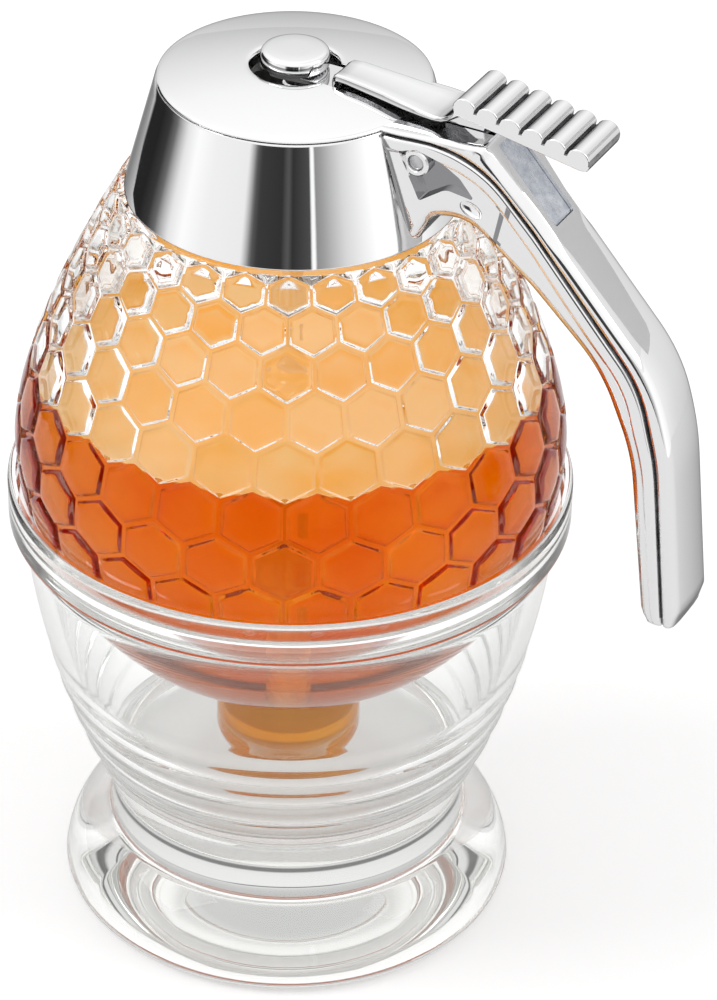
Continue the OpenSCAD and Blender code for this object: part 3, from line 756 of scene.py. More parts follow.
@dataclass(frozen=True)
class Steel:
    """Turned stainless steel with fine rings."""

    name: str
    tint: Colour = (0.62, 0.62, 0.63)
    low: float = 0.18
    high: float = 0.38
    marks: float = 0.2

    def material(self) -> bpy.types.Material:
        """The finish as a material."""
        material, w, shader = new_material(self.name, base_color=self.tint, metallic=1)
        marks = placed_group(w, Groups.lathe_marks(), scale=1500, low=self.low, high=self.high)
        w.link(marks, "Value", shader, "Roughness")
        bump_from(w, shader, marks, self.marks, 0.00004)
        return material


@dataclass(frozen=True)
class Moulded:
    """Moulded plastic or silicone with a faint skin."""

    name: str
    tint: Colour
    low: float = 0.35
    high: float = 0.5

    def material(self) -> bpy.types.Material:
        """The finish as a material."""
        material, w, shader = new_material(self.name)
        darker = tuple(c * 0.9 for c in self.tint)
        colours = placed_group(w, Groups.mottle(), scale=120, light=self.tint, dark=darker)
        w.link(colours, "Colour", shader, "Base Color")
        roughen(w, shader, 150, self.low, self.high)
        bump_from(w, shader, placed_group(w, Groups.ripple(), scale=900, fine=0.4), 0.4, 0.00006)
        return material


class Surface(Enum):
    """The finishes of the dispenser's pieces."""

    # painted shade: both glasses darken to their edge colour where the wall turns from the eye
    STAND_GLASS = ClearGlass(
        "stand_glass", shine=0.28, edge=(0.38, 0.38, 0.37), wave_scale=22, lets_through=(0.983, 0.983, 0.981)
    )
    JAR_GLASS = ClearGlass(
        "jar_glass", tint=(0.985, 0.99, 0.985), shine=0.14, wave_scale=45, wave_depth=0.0001
    )
    # painted shade: the chromes' edge values darken their rims, most of all on the lever
    CHROME = Chrome("chrome")
    CHROME_LEVER = Chrome("chrome_lever", edge=0.12, low=0.02, high=0.07, ripple_depth=0.00008)
    # painted shade: a dark chrome for the pockets' floors beside the pin, where shade falls
    CHROME_PAINTED_SHADE = Chrome("chrome_painted_shade", tint=(0.3, 0.3, 0.31), low=0.05, high=0.14, ripple_depth=0.0003)
    PANEL = MottledMetal("panel_metal", (0.74, 0.77, 0.82), (0.5, 0.53, 0.6))
    # painted shade: a dark metal for the parting groove, the lever's undersides and the pad's valleys, where shade
    # falls
    PAINTED_SHADE = MottledMetal("painted_shade_metal", (0.3, 0.3, 0.31), (0.12, 0.12, 0.125))
    HONEY = Honey("honey")
    # painted glow: the honey in the nozzle and the honey's top give off light of their own
    HONEY_LOW = Honey(
        "honey_low", tint=(0.85, 0.36, 0.01), clear=0.6, glow=0.2, cloud=(0.95, 0.5, 0.03), low=0.05, high=0.15
    )
    HONEY_TOP = Honey(
        "honey_top", tint=(0.98, 0.43, 0.03), shine=(1, 1, 1), clear=0.3, glow=0.5, cloud=(1.0, 0.6, 0.22),
        patches=60, low=0.08, high=0.25,
    )
    STEEL = Steel("steel")
    SATIN_STEEL = Steel("satin_steel", tint=(0.86, 0.86, 0.87), low=0.08, high=0.2, marks=0.05)
    DARK_STEEL = Steel("dark_steel", tint=(0.36, 0.36, 0.37), low=0.3, high=0.5)
    WHITE_PLASTIC = Moulded("white_plastic", (0.86, 0.86, 0.84))
    SILICONE = Moulded("silicone", (0.82, 0.81, 0.77), 0.45, 0.6)
    AMBER_SILICONE = Moulded("amber_silicone", (0.66, 0.34, 0.045), 0.4, 0.55)
    SEAL_RUBBER = Moulded("seal_rubber", (0.03, 0.03, 0.03), 0.5, 0.65)


class Shop:
    """Makes each material once and turns meshes into pieces of the part."""

    def __init__(self) -> None:
        """Starts with no materials and no pieces."""
        self.materials: dict[Surface, bpy.types.Material] = {}
        self.count = 0

    def material(self, surface: Surface) -> bpy.types.Material:
        """The material of a finish, made at its first use."""
        if surface not in self.materials:
            self.materials[surface] = surface.value.material()
        return self.materials[surface]

    def piece(
        self, bm: bmesh.types.BMesh, name: str, surface: Surface, body: str,
        nodes: Sequence[str] = (), slot: str | None = None, sharp: float = 50, even: bool = False,
        others: Sequence[tuple[Surface, Callable[[bmesh.types.BMFace], bool]]] = (),
    ) -> bpy.types.Object:
        """Turns a mesh into a piece that rides on a body.

        Args:
            bm: the mesh, which is freed.
            name: the piece's name.
            surface: its finish.
            body: the CAD body that it moves with.
            nodes: the CAD nodes that it stands for.
            slot: the record's material slot for its finish; not used.
            sharp: edges over this angle stay sharp, in degrees.
            even: whether its shading is evened by the faces' areas.
            others: further finishes, each with a test for the faces that have it.

        Returns:
            The piece.
        """
        for face in bm.faces:
            face.smooth = True
            face.material_index = next((i + 1 for i, (_, test) in enumerate(others) if test(face)), 0)
        obj = draft_object(bm, name)
        obj.data.set_sharp_from_angle(angle=math.radians(sharp))
        obj.data.materials.append(self.material(surface))
        for other, _ in others:
            obj.data.materials.append(self.material(other))
        if even:
            step = obj.modifiers.new("even_shading", "WEIGHTED_NORMAL")
            step.keep_sharp = True
        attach(obj, body)
        if nodes:
            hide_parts(*nodes)
        self.count += 1
        LOG.info("%s on %s: %d faces", name, body, len(obj.data.polygons))
        return obj

    def dress(self, node: str, surface: Surface) -> None:
        """Gives a CAD node that stays its finish."""
        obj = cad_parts[node]
        obj.data.materials.clear()
        obj.data.materials.append(self.material(surface))
        LOG.info("%s dressed in %s", node, surface.value.name)


# ------------------------------------------------------------------ stand


@dataclass
class Stand:
    """The clear glass stand: a cup with a rim band, a waist and a thick foot."""

    foot_r: float = 36.5
    waist_r: float = 28.8
    waist_z: float = 19.5
    floor_z: float = 24.0
    rim_z: float = 77.0
    band_z: float = 69.6
    band_r: float = 44.1
    body_top_r: float = 41.8
    wall: float = 2.7
    bowl_r: float = 42.4
    bowl_z: float = 84.0
    bowl_h: float = 44.0
    rim_bore: float = 42.9
    ridge: float = 0.28
    ridge_pitch: float = 5.2
    ridge_low: float = 24.0
    ridge_high: float = 50.0

    def seat_r(self, z: float) -> float:
        """Radius of the jar's bowl at a height, with its seat's clearance."""
        return self.bowl_r * math.sqrt(max(0.0, 1 - ((self.bowl_z - z) / self.bowl_h) ** 2)) + 0.25

    def outline(self) -> list[Point]:
        """The closed outline, from the foot's centre round the cup and back."""
        body = cubic(
            (self.waist_r, self.waist_z), (self.waist_r + 4.7, self.waist_z + 10.5),
            (self.body_top_r - 0.6, self.band_z - 20), (self.body_top_r, self.band_z), 56,
        )
        ribbed = []
        for r, z in body:
            fade = share_of(z, self.ridge_low, 4) * share_of(self.ridge_high - z, 0, 6)
            wave = math.sin((z - self.ridge_low) / self.ridge_pitch * TURN)
            ribbed.append((r + self.ridge * fade * wave, z))
        foot = cubic(
            (self.foot_r, 1.9), (self.foot_r - 0.6, 6.4), (self.waist_r + 4.6, 9.6), (self.waist_r + 0.5, 12.4),
            20,
        )
        outer = (
            [(0, 0), (12, 0), (24, 0), (33.6, 0), (34.8, 0.05), (35.6, 0.35), (36.2, 0.95)]
            + foot
            + [(self.waist_r + 0.15, 12.9), (self.waist_r, 13.5)]
            + [(self.waist_r - 0.1, 15), (self.waist_r - 0.1, 17.5)]
            + ribbed[:-1]
        )
        band = rounded(
            [
                (self.body_top_r, self.band_z - 0.2, 0), (self.body_top_r + 0.1, self.band_z, 0.05),
                (self.band_r, self.band_z + 0.1, 0.7), (self.band_r, self.rim_z, 1.3),
                (self.rim_bore, self.rim_z, 0.45), (self.rim_bore, self.rim_z - 3, 0),
            ]
        )
        seat = [(min(self.rim_bore, self.seat_r(z)), z) for z in (73, 72, 71, 70, 69, 68, 67)]
        inner = []
        for r, z in reversed(body):
            if self.floor_z + 5.5 < z < 66:
                inner.append((max(r - self.wall, self.seat_r(z)), z))
        low = inner[-1]
        well = cubic(
            low, (low[0] - 1.2, self.floor_z + 2), (low[0] - 3.2, self.floor_z + 0.35),
            (low[0] - 5.4, self.floor_z + 0.25), 8,
        )
        floor = [(22.9, self.floor_z + 0.12)] + [(r, self.floor_z) for r in (22.4, 14, 6, 0)]
        return outer + band + seat + inner + well[1:] + floor

    def build(self, shop: Shop) -> None:
        """Makes the stand's piece."""
        shop.piece(
            turned(self.outline(), 160), "stand_glass", Surface.STAND_GLASS, "stand", ["stand_cup"], "clear_glass"
        )


# -------------------------------------------------------------------- jar


@dataclass
class Jar:
    """The glass jar with its honeycomb relief, and the honey in it."""

    belly_r: float = 42.4
    belly_z: float = 84.0
    bowl_h: float = 44.0
    wall: float = 2.8
    shoulder_r: float = 26.4
    shoulder_z: float = 126.4
    nozzle_r: float = 11.7
    nozzle_z: float = 27.0
    seat_z: float = 29.0
    outlet_r: float = 5.2
    chamber_r: float = 9.2
    neck_r: float = 18.8
    neck_z: float = 132.4
    honey_z: float = 95.0
    throat_z: float = 40.4
    columns: int = 26
    first_column: float = -62.5
    rows: tuple[float, ...] = (69.8, 77.7, 85.5, 93.1, 100.4, 107.3, 113.7, 119.3, 123.9, 127.6)
    relief: float = 0.62
    side: list[Point] = field(default_factory=list)

    def __post_init__(self) -> None:
        """Works out the side above the widest ring."""
        self.side = cubic(
            (self.belly_r, self.belly_z), (self.belly_r, self.belly_z + 8),
            (self.shoulder_r + 9.9, self.shoulder_z - 18), (self.shoulder_r, self.shoulder_z - 0.6), 60,
        )

    def outer_r(self, z: float) -> float:
        """Radius of the outside at a height."""
        if z <= self.belly_z:
            return self.belly_r * math.sqrt(max(0.0, 1 - ((self.belly_z - z) / self.bowl_h) ** 2))
        for (r0, z0), (r1, z1) in zip(self.side, self.side[1:]):
            if z <= z1:
                return r0 + (r1 - r0) * (z - z0) / (z1 - z0)
        return self.side[-1][0]

    def normal(self, z: float) -> Point:
        """The outside's direction at a height, as (outward, up)."""
        slope = (self.outer_r(z + 0.3) - self.outer_r(z - 0.3)) / 0.6
        size = math.hypot(1, slope)
        return 1 / size, -slope / size

    def row_z(self, row: float) -> float:
        """Height of a place that lies between two rows of cells."""
        row = max(0.0, min(len(self.rows) - 1.001, row + 1))
        i = int(row)
        z = [self.rows[max(0, min(len(self.rows) - 1, k))] for k in (i - 1, i, i + 1, i + 2)]
        t = row - i
        a, b = (z[2] - z[0]) / 2, (z[3] - z[1]) / 2
        if i == 0:
            a = z[2] - z[1]
        if i + 2 > len(self.rows) - 1:
            b = z[2] - z[1]
        return (
            (2 * t**3 - 3 * t**2 + 1) * z[1] + (t**3 - 2 * t**2 + t) * a
            + (-2 * t**3 + 3 * t**2) * z[2] + (t**3 - t**2) * b
        )

    def cells(self) -> bmesh.types.BMesh:
        """The honeycomb: cells laid out flat, raised and wrapped round the jar."""
        bm = bmesh.new()
        pitch = math.sqrt(3) / 2
        for row in range(len(self.rows) - 2):
            for column in range(self.columns):
                middle = Vector((column + (0.0 if row % 2 else 0.5), row * pitch, 0))
                bmesh.ops.create_circle(
                    bm, cap_ends=True, radius=1 / math.sqrt(3), segments=6, matrix=Matrix.Translation(middle)
                )
        bmesh.ops.remove_doubles(bm, verts=bm.verts, dist=0.01)
        bmesh.ops.recalc_face_normals(bm, faces=bm.faces)
        if sum(face.normal.z for face in bm.faces) < 0:
            bmesh.ops.reverse_faces(bm, faces=bm.faces)
        tops = list(bm.faces)
        for thickness, depth in ((0.03, 0.0), (0.05, 0.09), (0.04, 0.02)):
            bmesh.ops.inset_individual(
                bm, faces=tops, thickness=thickness, depth=depth, use_even_offset=True
            )
        poked = bmesh.ops.poke(bm, faces=tops)
        bmesh.ops.translate(bm, verts=poked["verts"], vec=(0, 0, 0.012))
        bmesh.ops.subdivide_edges(bm, edges=bm.edges, cuts=2, use_grid_fill=True)
        step = TURN / self.columns
        for vert in bm.verts:
            z = self.row_z(vert.co.y / pitch)
            angle = math.radians(self.first_column) + vert.co.x * step
            out, up = self.normal(z)
            lift = (vert.co.z * 10 - 0.65) * self.relief
            r = self.outer_r(z) + lift * out
            vert.co = Vector((r * math.cos(angle), r * math.sin(angle), z + lift * up)) * MM
        bmesh.ops.remove_doubles(bm, verts=bm.verts, dist=2e-5)
        bmesh.ops.recalc_face_normals(bm, faces=bm.faces)
        return bm

    def inside(self) -> list[Point]:
        """The inner outline, from the outlet up to the neck's bore."""
        in_r, in_h = self.belly_r - self.wall, self.bowl_h - self.wall
        join = math.acos((self.chamber_r + 1.5) / in_r)
        bowl = [
            (in_r * math.cos(join * (1 - i / 16)), self.belly_z - in_h * math.sin(join * (1 - i / 16)))
            for i in range(17)
        ]
        side = cubic(
            (in_r, self.belly_z), (in_r, self.belly_z + 7.5),
            (self.shoulder_r + 7.4, self.shoulder_z - 19), (self.shoulder_r - 2.4, self.shoulder_z - 4), 16,
        )
        chamber = [
            (self.outlet_r, self.nozzle_z + 0.3), (self.outlet_r, self.seat_z),
            (self.chamber_r - 0.3, self.seat_z + self.chamber_r - self.outlet_r - 0.3),
            (self.chamber_r, self.seat_z + self.chamber_r - self.outlet_r + 0.4),
            (self.chamber_r, bowl[0][1] - 3), (self.chamber_r + 0.3, bowl[0][1] - 1.4),
        ]
        bore = self.neck_r - self.wall
        neck = [
            (self.shoulder_r - 3.4, self.shoulder_z - 2.8), (bore + 1.4, self.shoulder_z - 2.3),
            (bore + 0.4, self.shoulder_z - 1.9), (bore, self.shoulder_z - 1.2), (bore, self.neck_z - 0.5),
        ]
        return chamber + bowl + side[1:] + neck

    def neck(self) -> list[Point]:
        """The outline from the neck's bore over its top and bead to the shoulder."""
        bore, z = self.neck_r - self.wall, self.shoulder_z
        return [
            (bore + 0.15, self.neck_z - 0.15), (bore + 0.5, self.neck_z), (self.neck_r - 0.5, self.neck_z),
            (self.neck_r - 0.15, self.neck_z - 0.15), (self.neck_r, self.neck_z - 0.5), (self.neck_r, z + 3.3),
            (self.neck_r + 0.25, z + 3.0), (self.neck_r + 0.65, z + 2.75), (self.neck_r + 0.7, z + 2.4),
            (self.neck_r + 0.65, z + 2.05), (self.neck_r + 0.25, z + 1.8), (self.neck_r, z + 1.5),
            (self.neck_r, z + 0.5), (self.neck_r + 0.5, z + 0.02), (self.shoulder_r - 0.8, z),
            (self.shoulder_r - 0.25, z - 0.15),
        ]

    def below(self) -> list[Point]:
        """The outer outline from under the cells down to the nozzle's end."""
        join = self.belly_z - self.bowl_h * math.sqrt(1 - ((self.nozzle_r + 2) / self.belly_r) ** 2)
        bowl = [(self.outer_r(z), z) for z in (70.5, 67, 63, 59, 55.5, 52, 49, 46.5, 44.5, 43.2)]
        return bowl + [
            (self.nozzle_r + 2, join), (self.nozzle_r + 0.8, join - 0.8), (self.nozzle_r + 0.1, join - 2.2),
            (self.nozzle_r, join - 3.4), (self.nozzle_r, 34), (self.nozzle_r, self.nozzle_z + 1.6),
            (self.nozzle_r - 0.25, self.nozzle_z + 0.6), (self.nozzle_r - 1, self.nozzle_z + 0.05),
            (self.nozzle_r - 2, self.nozzle_z), (self.outlet_r + 0.4, self.nozzle_z),
        ]

    def glass(self) -> bmesh.types.BMesh:
        """The whole jar: the cells, then rings down, up the inside and to the neck."""
        bm = self.cells()
        rims = [e for e in bm.edges if e.is_boundary]
        ring_edges = [e for e in rims if e.verts[0].co.z < self.honey_z * MM]
        high = [e for e in rims if e.verts[0].co.z >= self.honey_z * MM]
        ring = sorted({v for e in ring_edges for v in e.verts}, key=lambda v: math.atan2(v.co.y, v.co.x))
        angles = [math.atan2(v.co.y, v.co.x) for v in ring]
        for r, z in self.below() + self.inside() + self.neck():
            places = [Vector((r * math.cos(a), r * math.sin(a), z)) * MM for a in angles]
            ring, ring_edges = grow_ring(bm, ring, ring_edges, places)
        bmesh.ops.bridge_loops(bm, edges=ring_edges + high)
        tidy(bm)
        return bm

    def honey(self) -> bmesh.types.BMesh:
        """The honey: it fills the inside, and its top has a thin raised rim."""
        keep = []
        skin, nozzle_reach = 0.12, 1.7
        for r, z in self.inside()[1:]:
            if z > self.honey_z - 0.6:
                break
            # in the thick nozzle the honey reaches into the wall, as the glass magnifies it
            reach = nozzle_reach if z < self.throat_z else skin
            wide = min(r + reach, max(self.nozzle_r - 0.7, r + skin))
            keep.append((wide, max(z - reach + skin, self.nozzle_z + 0.5)))
        wall_r = next(
            r0 + (r1 - r0) * (self.honey_z - z0) / (z1 - z0)
            for (r0, z0), (r1, z1) in zip(self.inside(), self.inside()[1:])
            if z0 <= self.honey_z <= z1 and z1 > self.belly_z
        )
        rim = [
            (wall_r + skin, self.honey_z + 0.9), (wall_r - 0.35, self.honey_z + 0.42),
            (wall_r - 1.0, self.honey_z + 0.14), (wall_r - 2.2, self.honey_z), (wall_r - 12, self.honey_z),
            (4.0, self.honey_z), (2.9, self.honey_z + 0.08), (2.2, self.honey_z + 0.45), (0.0, self.honey_z + 0.5),
        ]
        return turned([(0, keep[0][1])] + keep + rim, 128)

    def build(self, shop: Shop) -> None:
        """Makes the jar's and the honey's pieces."""
        shop.piece(self.glass(), "jar_glass", Surface.JAR_GLASS, "vessel", ["jar"], "jar_glass", sharp=75)
        shop.piece(
            self.honey(), "honey", Surface.HONEY, "vessel", sharp=75,
            others=[
                (Surface.HONEY_TOP, lambda face: face.calc_center_median().z > (self.honey_z - 0.05) * MM),
                (Surface.HONEY_LOW, lambda face: face.calc_center_median().z < self.throat_z * MM),
            ],
        )


# -------------------------------------------------------------------- cap


@dataclass
class HandleLines:
    """The handle's side outlines and plan, which the two shells share."""

    start_x: float = 14.4
    lid_z: float = 145.2
    parting_z: float = 144.6
    foot_z: float = 126.6
    end_z: float = 72.4
    brow: Point = (34.0, 145.2)
    knee: Point = (62.6, 113.8)
    root_w: float = 8.3
    arm_w: float = 5.6
    root_x: float = 21.0
    taper_x: float = 42.0

    def half_width(self, x: float) -> float:
        """Half the handle's width at a distance from the axis."""
        return self.root_w + share_of(x, self.root_x, self.taper_x - self.root_x) * (self.arm_w - self.root_w)

    def back(self) -> list[Point]:
        """The line along the handle's outer face."""
        return rounded(
            [
                (self.start_x, self.lid_z, 0), (*self.brow, 0.8), (*self.knee, 26), (66.0, 102.5, 50),
                (68.9, 75.3, 1.2), (68.0, self.end_z, 0),
            ],
            10,
        )

    def parting(self) -> list[Point]:
        """The line between the two shells."""
        return rounded(
            [
                (self.start_x, self.parting_z, 0), (32.2, self.parting_z, 18), (60.2, 112.6, 20), (63.6, 100.0, 40),
                (66.4, self.end_z, 0),
            ],
            10,
        )

    def belly(self) -> list[Point]:
        """The line along the handle's inner face."""
        return rounded(
            [
                (22.4, self.foot_z, 0), (23.8, self.foot_z, 0), (26.1, 131.8, 2.2), (31.6, 133.0, 7),
                (53.2, 113.0, 24), (58.9, 100.0, 30), (62.3, 74.0, 1.6), (63.7, self.end_z, 0),
            ],
            10,
        )

    def in_groove(self, face: bmesh.types.BMFace) -> bool:
        """Whether a face lies in the groove along the parting line."""
        x, y, z = face.calc_center_median() / MM
        if self.half_width(x) - abs(y) < 0.4:
            return False
        parting = self.parting()
        here = Vector((x, z))
        for a, b in zip(parting, parting[1:]):
            start, span = Vector(a), Vector(b) - Vector(a)
            share = share_of((here - start).dot(span), 0, max(span.length_squared, 1e-9))
            if (start + span * share - here).length < 0.5:
                return True
        return False

    def ring(
        self, top: Point, low: Point, pattern: Sequence[Point], crown: Sequence[Point], sole: Sequence[Point]
    ) -> list[Vector]:
        """One section of a shell.

        Args:
            top: where the section starts, as (x, z).
            low: where it ends.
            pattern: (distance, inset) pairs down the near side; a negative
                distance counts from the end.
            crown: (distance, share of the half width) pairs over the top.
            sole: the same over the end.

        Returns:
            The section's places, in metres.
        """
        start, end = Vector(top), Vector(low)
        length = (end - start).length
        way = (end - start).normalized()
        room = max(d for d, _ in pattern) - min(0, *(d for d, _ in pattern))
        shrink = min(1.0, length / (room + 0.05))

        def at(distance: float, across: float) -> Vector:
            """A place at a distance down the section and across the handle."""
            p = start + way * distance
            return Vector((p.x, across, p.y)) * MM

        near, far = [], []
        for distance, inset in pattern:
            d = distance * shrink if distance >= 0 else length + distance * shrink
            w = self.half_width((start + way * d).x) - inset * max(shrink, 0.4)
            near.append(at(d, -w))
            far.append(at(d, w))
        over = [(d * shrink, self.half_width(start.x) * share) for d, share in crown]
        under = [(length + d * shrink, self.half_width(end.x) * share) for d, share in sole]
        return (
            near
            + [at(d, -w) for d, w in under]
            + [at(d, w) for d, w in reversed(under) if w > 0]
            + list(reversed(far))
            + [at(d, w) for d, w in over]
            + [at(d, -w) for d, w in reversed(over) if w > 0]
        )


@dataclass
class Cap:
    """The chromed lid, cone and handle, with the pin and the parts inside."""

    lines: HandleLines = field(default_factory=HandleLines)
    foot_r: float = 25.4
    top_r: float = 20.4
    cap_z: float = 126.6
    lid_z: float = 145.2
    dome: float = 2.0
    hole_r: float = 6.6
    pivot: Point = (23.8, 140.4)
    pin_r: float = 1.25
    pocket_y: float = 6.1
    # the slot's two ends and half its width
    slot: tuple[float, float, float] = (25.1, 33.7, 2.15)
    # how far the panel is from the brow, its length and half its width
    panel: tuple[float, float, float] = (1.2, 14.4, 3.0)
    dimple: Point = (32.6, 134.9)
    spring_ends: Point = (118.06, 131.9)

    def dome_z(self, r: float, drop: float = 0.0) -> float:
        """Height of the lid's dome, or of a face a wall below it, at a radius."""
        radius = (self.top_r**2 + self.dome**2) / (2 * self.dome)
        return self.lid_z + self.dome - radius + math.sqrt((radius - drop) ** 2 - r * r)

    def lid_disc(self) -> bmesh.types.BMesh:
        """The domed disc with its rolled hole, cut for the lever's fork."""
        h = self.hole_r
        outline = [
            (h + 0.02, self.dome_z(h, 2.0)), (h, 145.4), (h, 146.3), (h + 0.06, 146.62), (h + 0.24, 146.86),
            (h + 0.55, self.dome_z(h + 0.55) - 0.02),
        ]
        outline += [(r, self.dome_z(r)) for r in (7.6, 8.4, 9.6, 11, 12.5, 14, 15.5, 17, 18.4, 19.3)]
        outline += [
            (19.8, 145.29), (20.12, 145.2), (20.32, 145.05), (20.4, 144.85), (20.36, 144.7), (20.2, 144.62),
            (19.2, 144.6), (18.7, 144.6), (18.7, 143.5), (13.4, 143.5), (13.4, self.dome_z(13.4, 2.0)),
            (10, self.dome_z(10, 2.0)),
        ]
        notch = box((2.0, -3.5, 142), (9.6, 3.5, 149))
        return carved(turned(outline, 160, closed=True), [notch])

    def cone(self) -> bmesh.types.BMesh:
        """The cone with the flange and screw bosses inside it."""
        slope = (self.foot_r - self.top_r) / (self.lid_z - self.cap_z)

        def r_at(z: float) -> float:
            """Outer radius of the cone at a height."""
            return self.foot_r - slope * (z - self.cap_z)

        outer = [(r_at(z), z) for z in (127.0, 129, 132, 135, 138, 141, 143.4, 144.3)]
        outline = (
            [(24.2, self.cap_z + 0.02), (25.05, self.cap_z), (25.28, self.cap_z + 0.1)] + outer
            + [(20.45, 144.55), (19.6, 144.58), (18.8, 144.58), (18.8, 143.5), (8.6, 143.5), (8.6, 142.1)]
            + [(r_at(142.1) - 1.6, 142.1), (23.8, self.cap_z + 0.1)]
        )
        shell = turned(outline, 160, closed=True)
        half = self.slot[2]
        shell = carved(shell, [box((20.0, -half, 137.4), (30, half, 150))])
        bosses = [
            post((11.8 * math.cos(a), 11.8 * math.sin(a), 138.85), 2.4, 6.7, 32)
            for a in map(math.radians, (60, 180, 300))
        ]
        return joined([shell, *bosses])

    def stations(self) -> list[float]:
        """Shares along the handle, closer together at the brow."""
        places = [0.165 * i / 7 for i in range(7)] + [0.165 + 0.05 * i / 14 for i in range(14)]
        return places + [0.215 + 0.780 * i / 60 for i in range(61)]

    def strip(self) -> bmesh.types.BMesh:
        """The handle's outer shell, with the lever's slot and the panel's recess."""
        back, parting = self.lines.back(), self.lines.parting()
        foot = [(-0.75, 0.0), (-0.45, 0.04), (-0.18, 0.16), (-0.03, 0.42), (-0.0001, 0.9)]
        root = [(0.0, 1.35), (0.04, 1.05), (0.14, 0.68), (0.32, 0.36), (0.58, 0.13), (0.85, 0.02)]
        brow = [(0.0, 1.6), (0.12, 1.32), (0.5, 0.86), (0.85, 0.42), (1.08, 0.18), (1.3, 0.04)]
        arm = [(0.26, 1.5), (0.34, 1.1), (0.47, 0.72), (0.66, 0.38), (0.92, 0.13), (1.25, 0.01)]
        rings = []
        for t in self.stations():
            to_brow = share_of(t, 0.18, 0.02)
            to_arm = share_of(t, 0.345, 0.03)
            edge = []
            for a, b, c in zip(root, brow, arm):
                mixed = [a[i] + (b[i] - a[i]) * to_brow for i in (0, 1)]
                edge.append(tuple(m + (c[i] - m) * to_arm for i, m in enumerate(mixed)))
            crown = [(0.09 * to_arm, 0.45), (0.0, 0.0)]
            sole = [(0.0, 0.5), (0.0, 0.0)]
            rings.append(self.lines.ring(along(back, t), along(parting, t), edge + foot, crown, sole))
        shell = lofted(rings + self.end_caps(rings[-1], 0.45))
        x0, x1, half = self.slot
        slot = box((x0, -half, 138), (x1, half, 150))
        return carved(shell, [slot, self.panel_block(0.8, 2.0, 0.0)])

    def end_caps(self, ring: Sequence[Vector], depth: float) -> list[list[Vector]]:
        """Two more rings that round off the handle's end.

        Args:
            ring: the last ring.
            depth: radius of the rounding, in mm.

        Returns:
            The rings, a little lower and drawn in.
        """
        middle = sum(ring, Vector()) / len(ring)
        caps = []
        for angle in (30, 60, 85):
            drop = Vector((0, 0, depth * MM * math.sin(math.radians(angle))))
            draw = depth * MM * (1 - math.cos(math.radians(angle)))
            rows = []
            for place in ring:
                inward = middle - place
                rows.append(place + inward.normalized() * min(draw, inward.length * 0.5) - drop)
            caps.append(rows)
        return caps

    def panel_block(self, depth: float, above: float, shrink: float) -> bmesh.types.BMesh:
        """A block that stands on the handle's back, where the panel is.

        Args:
            depth: how far it reaches below the back's face, in mm.
            above: how far it reaches above it.
            shrink: gap round it.

        Returns:
            The block.
        """
        brow, knee = self.lines.brow, self.lines.knee
        first, long, wide = self.panel
        angle = math.atan((brow[1] - knee[1]) / (knee[0] - brow[0]))
        way = Vector((math.cos(angle), 0, -math.sin(angle)))
        out = Vector((math.sin(angle), 0, math.cos(angle)))
        start = Vector((brow[0], 0, brow[1])) + way * (first + shrink)
        length, half = long - 2 * shrink, wide - shrink
        bm = bmesh.new()
        bmesh.ops.create_cube(bm, size=1)
        turn = Matrix(((way.x, 0, out.x), (0, 1, 0), (way.z, 0, out.z))).to_4x4()
        bmesh.ops.scale(bm, vec=(length * MM, 2 * half * MM, (depth + above) * MM), verts=bm.verts)
        upright_edges = [e for e in bm.edges if abs((e.verts[0].co - e.verts[1].co).z) > 1e-6]
        bmesh.ops.bevel(
            bm, geom=upright_edges, offset=0.5 * MM, offset_type="OFFSET", segments=4, profile=0.5,
            affect="EDGES", clamp_overlap=True, material=-1,
        )
        centre = start + way * (length / 2) + out * ((above - depth) / 2)
        bmesh.ops.transform(bm, matrix=Matrix.Translation(centre * MM) @ turn, verts=bm.verts)
        return bm

    def web(self) -> bmesh.types.BMesh:
        """The handle's inner shell, with the pockets, the pin's bosses and dimples."""
        parting, belly = self.lines.parting(), self.lines.belly()
        pattern = [
            (0.0, 1.4), (0.02, 0.95), (0.3, 0.9), (0.62, 0.3), (0.8, 0.08), (1.05, 0.0), (2.3, 0.0), (2.5, 0.05),
            (2.7, 0.14), (3.0, 0.17), (-2.2, 0.17), (-1.7, 0.2), (-1.2, 0.34), (-0.7, 0.66), (-0.3, 1.15),
            (-0.05, 1.8),
        ]
        crown = [(0.0, 0.5), (0.0, 0.0)]
        sole = [(0.06, 0.45), (0.08, 0.0)]
        pairs = ((0, 0), (0.11, 0.07), (0.2, 0.17), (0.32, 0.27), (0.6, 0.53), (0.73, 0.67), (1.0, 1.0))

        def low_share(t: float) -> float:
            """The share along the belly that faces a share along the parting line."""
            for (a0, b0), (a1, b1) in zip(pairs, pairs[1:]):
                if t <= a1:
                    return b0 + (b1 - b0) * (t - a0) / (a1 - a0)
            return 1.0

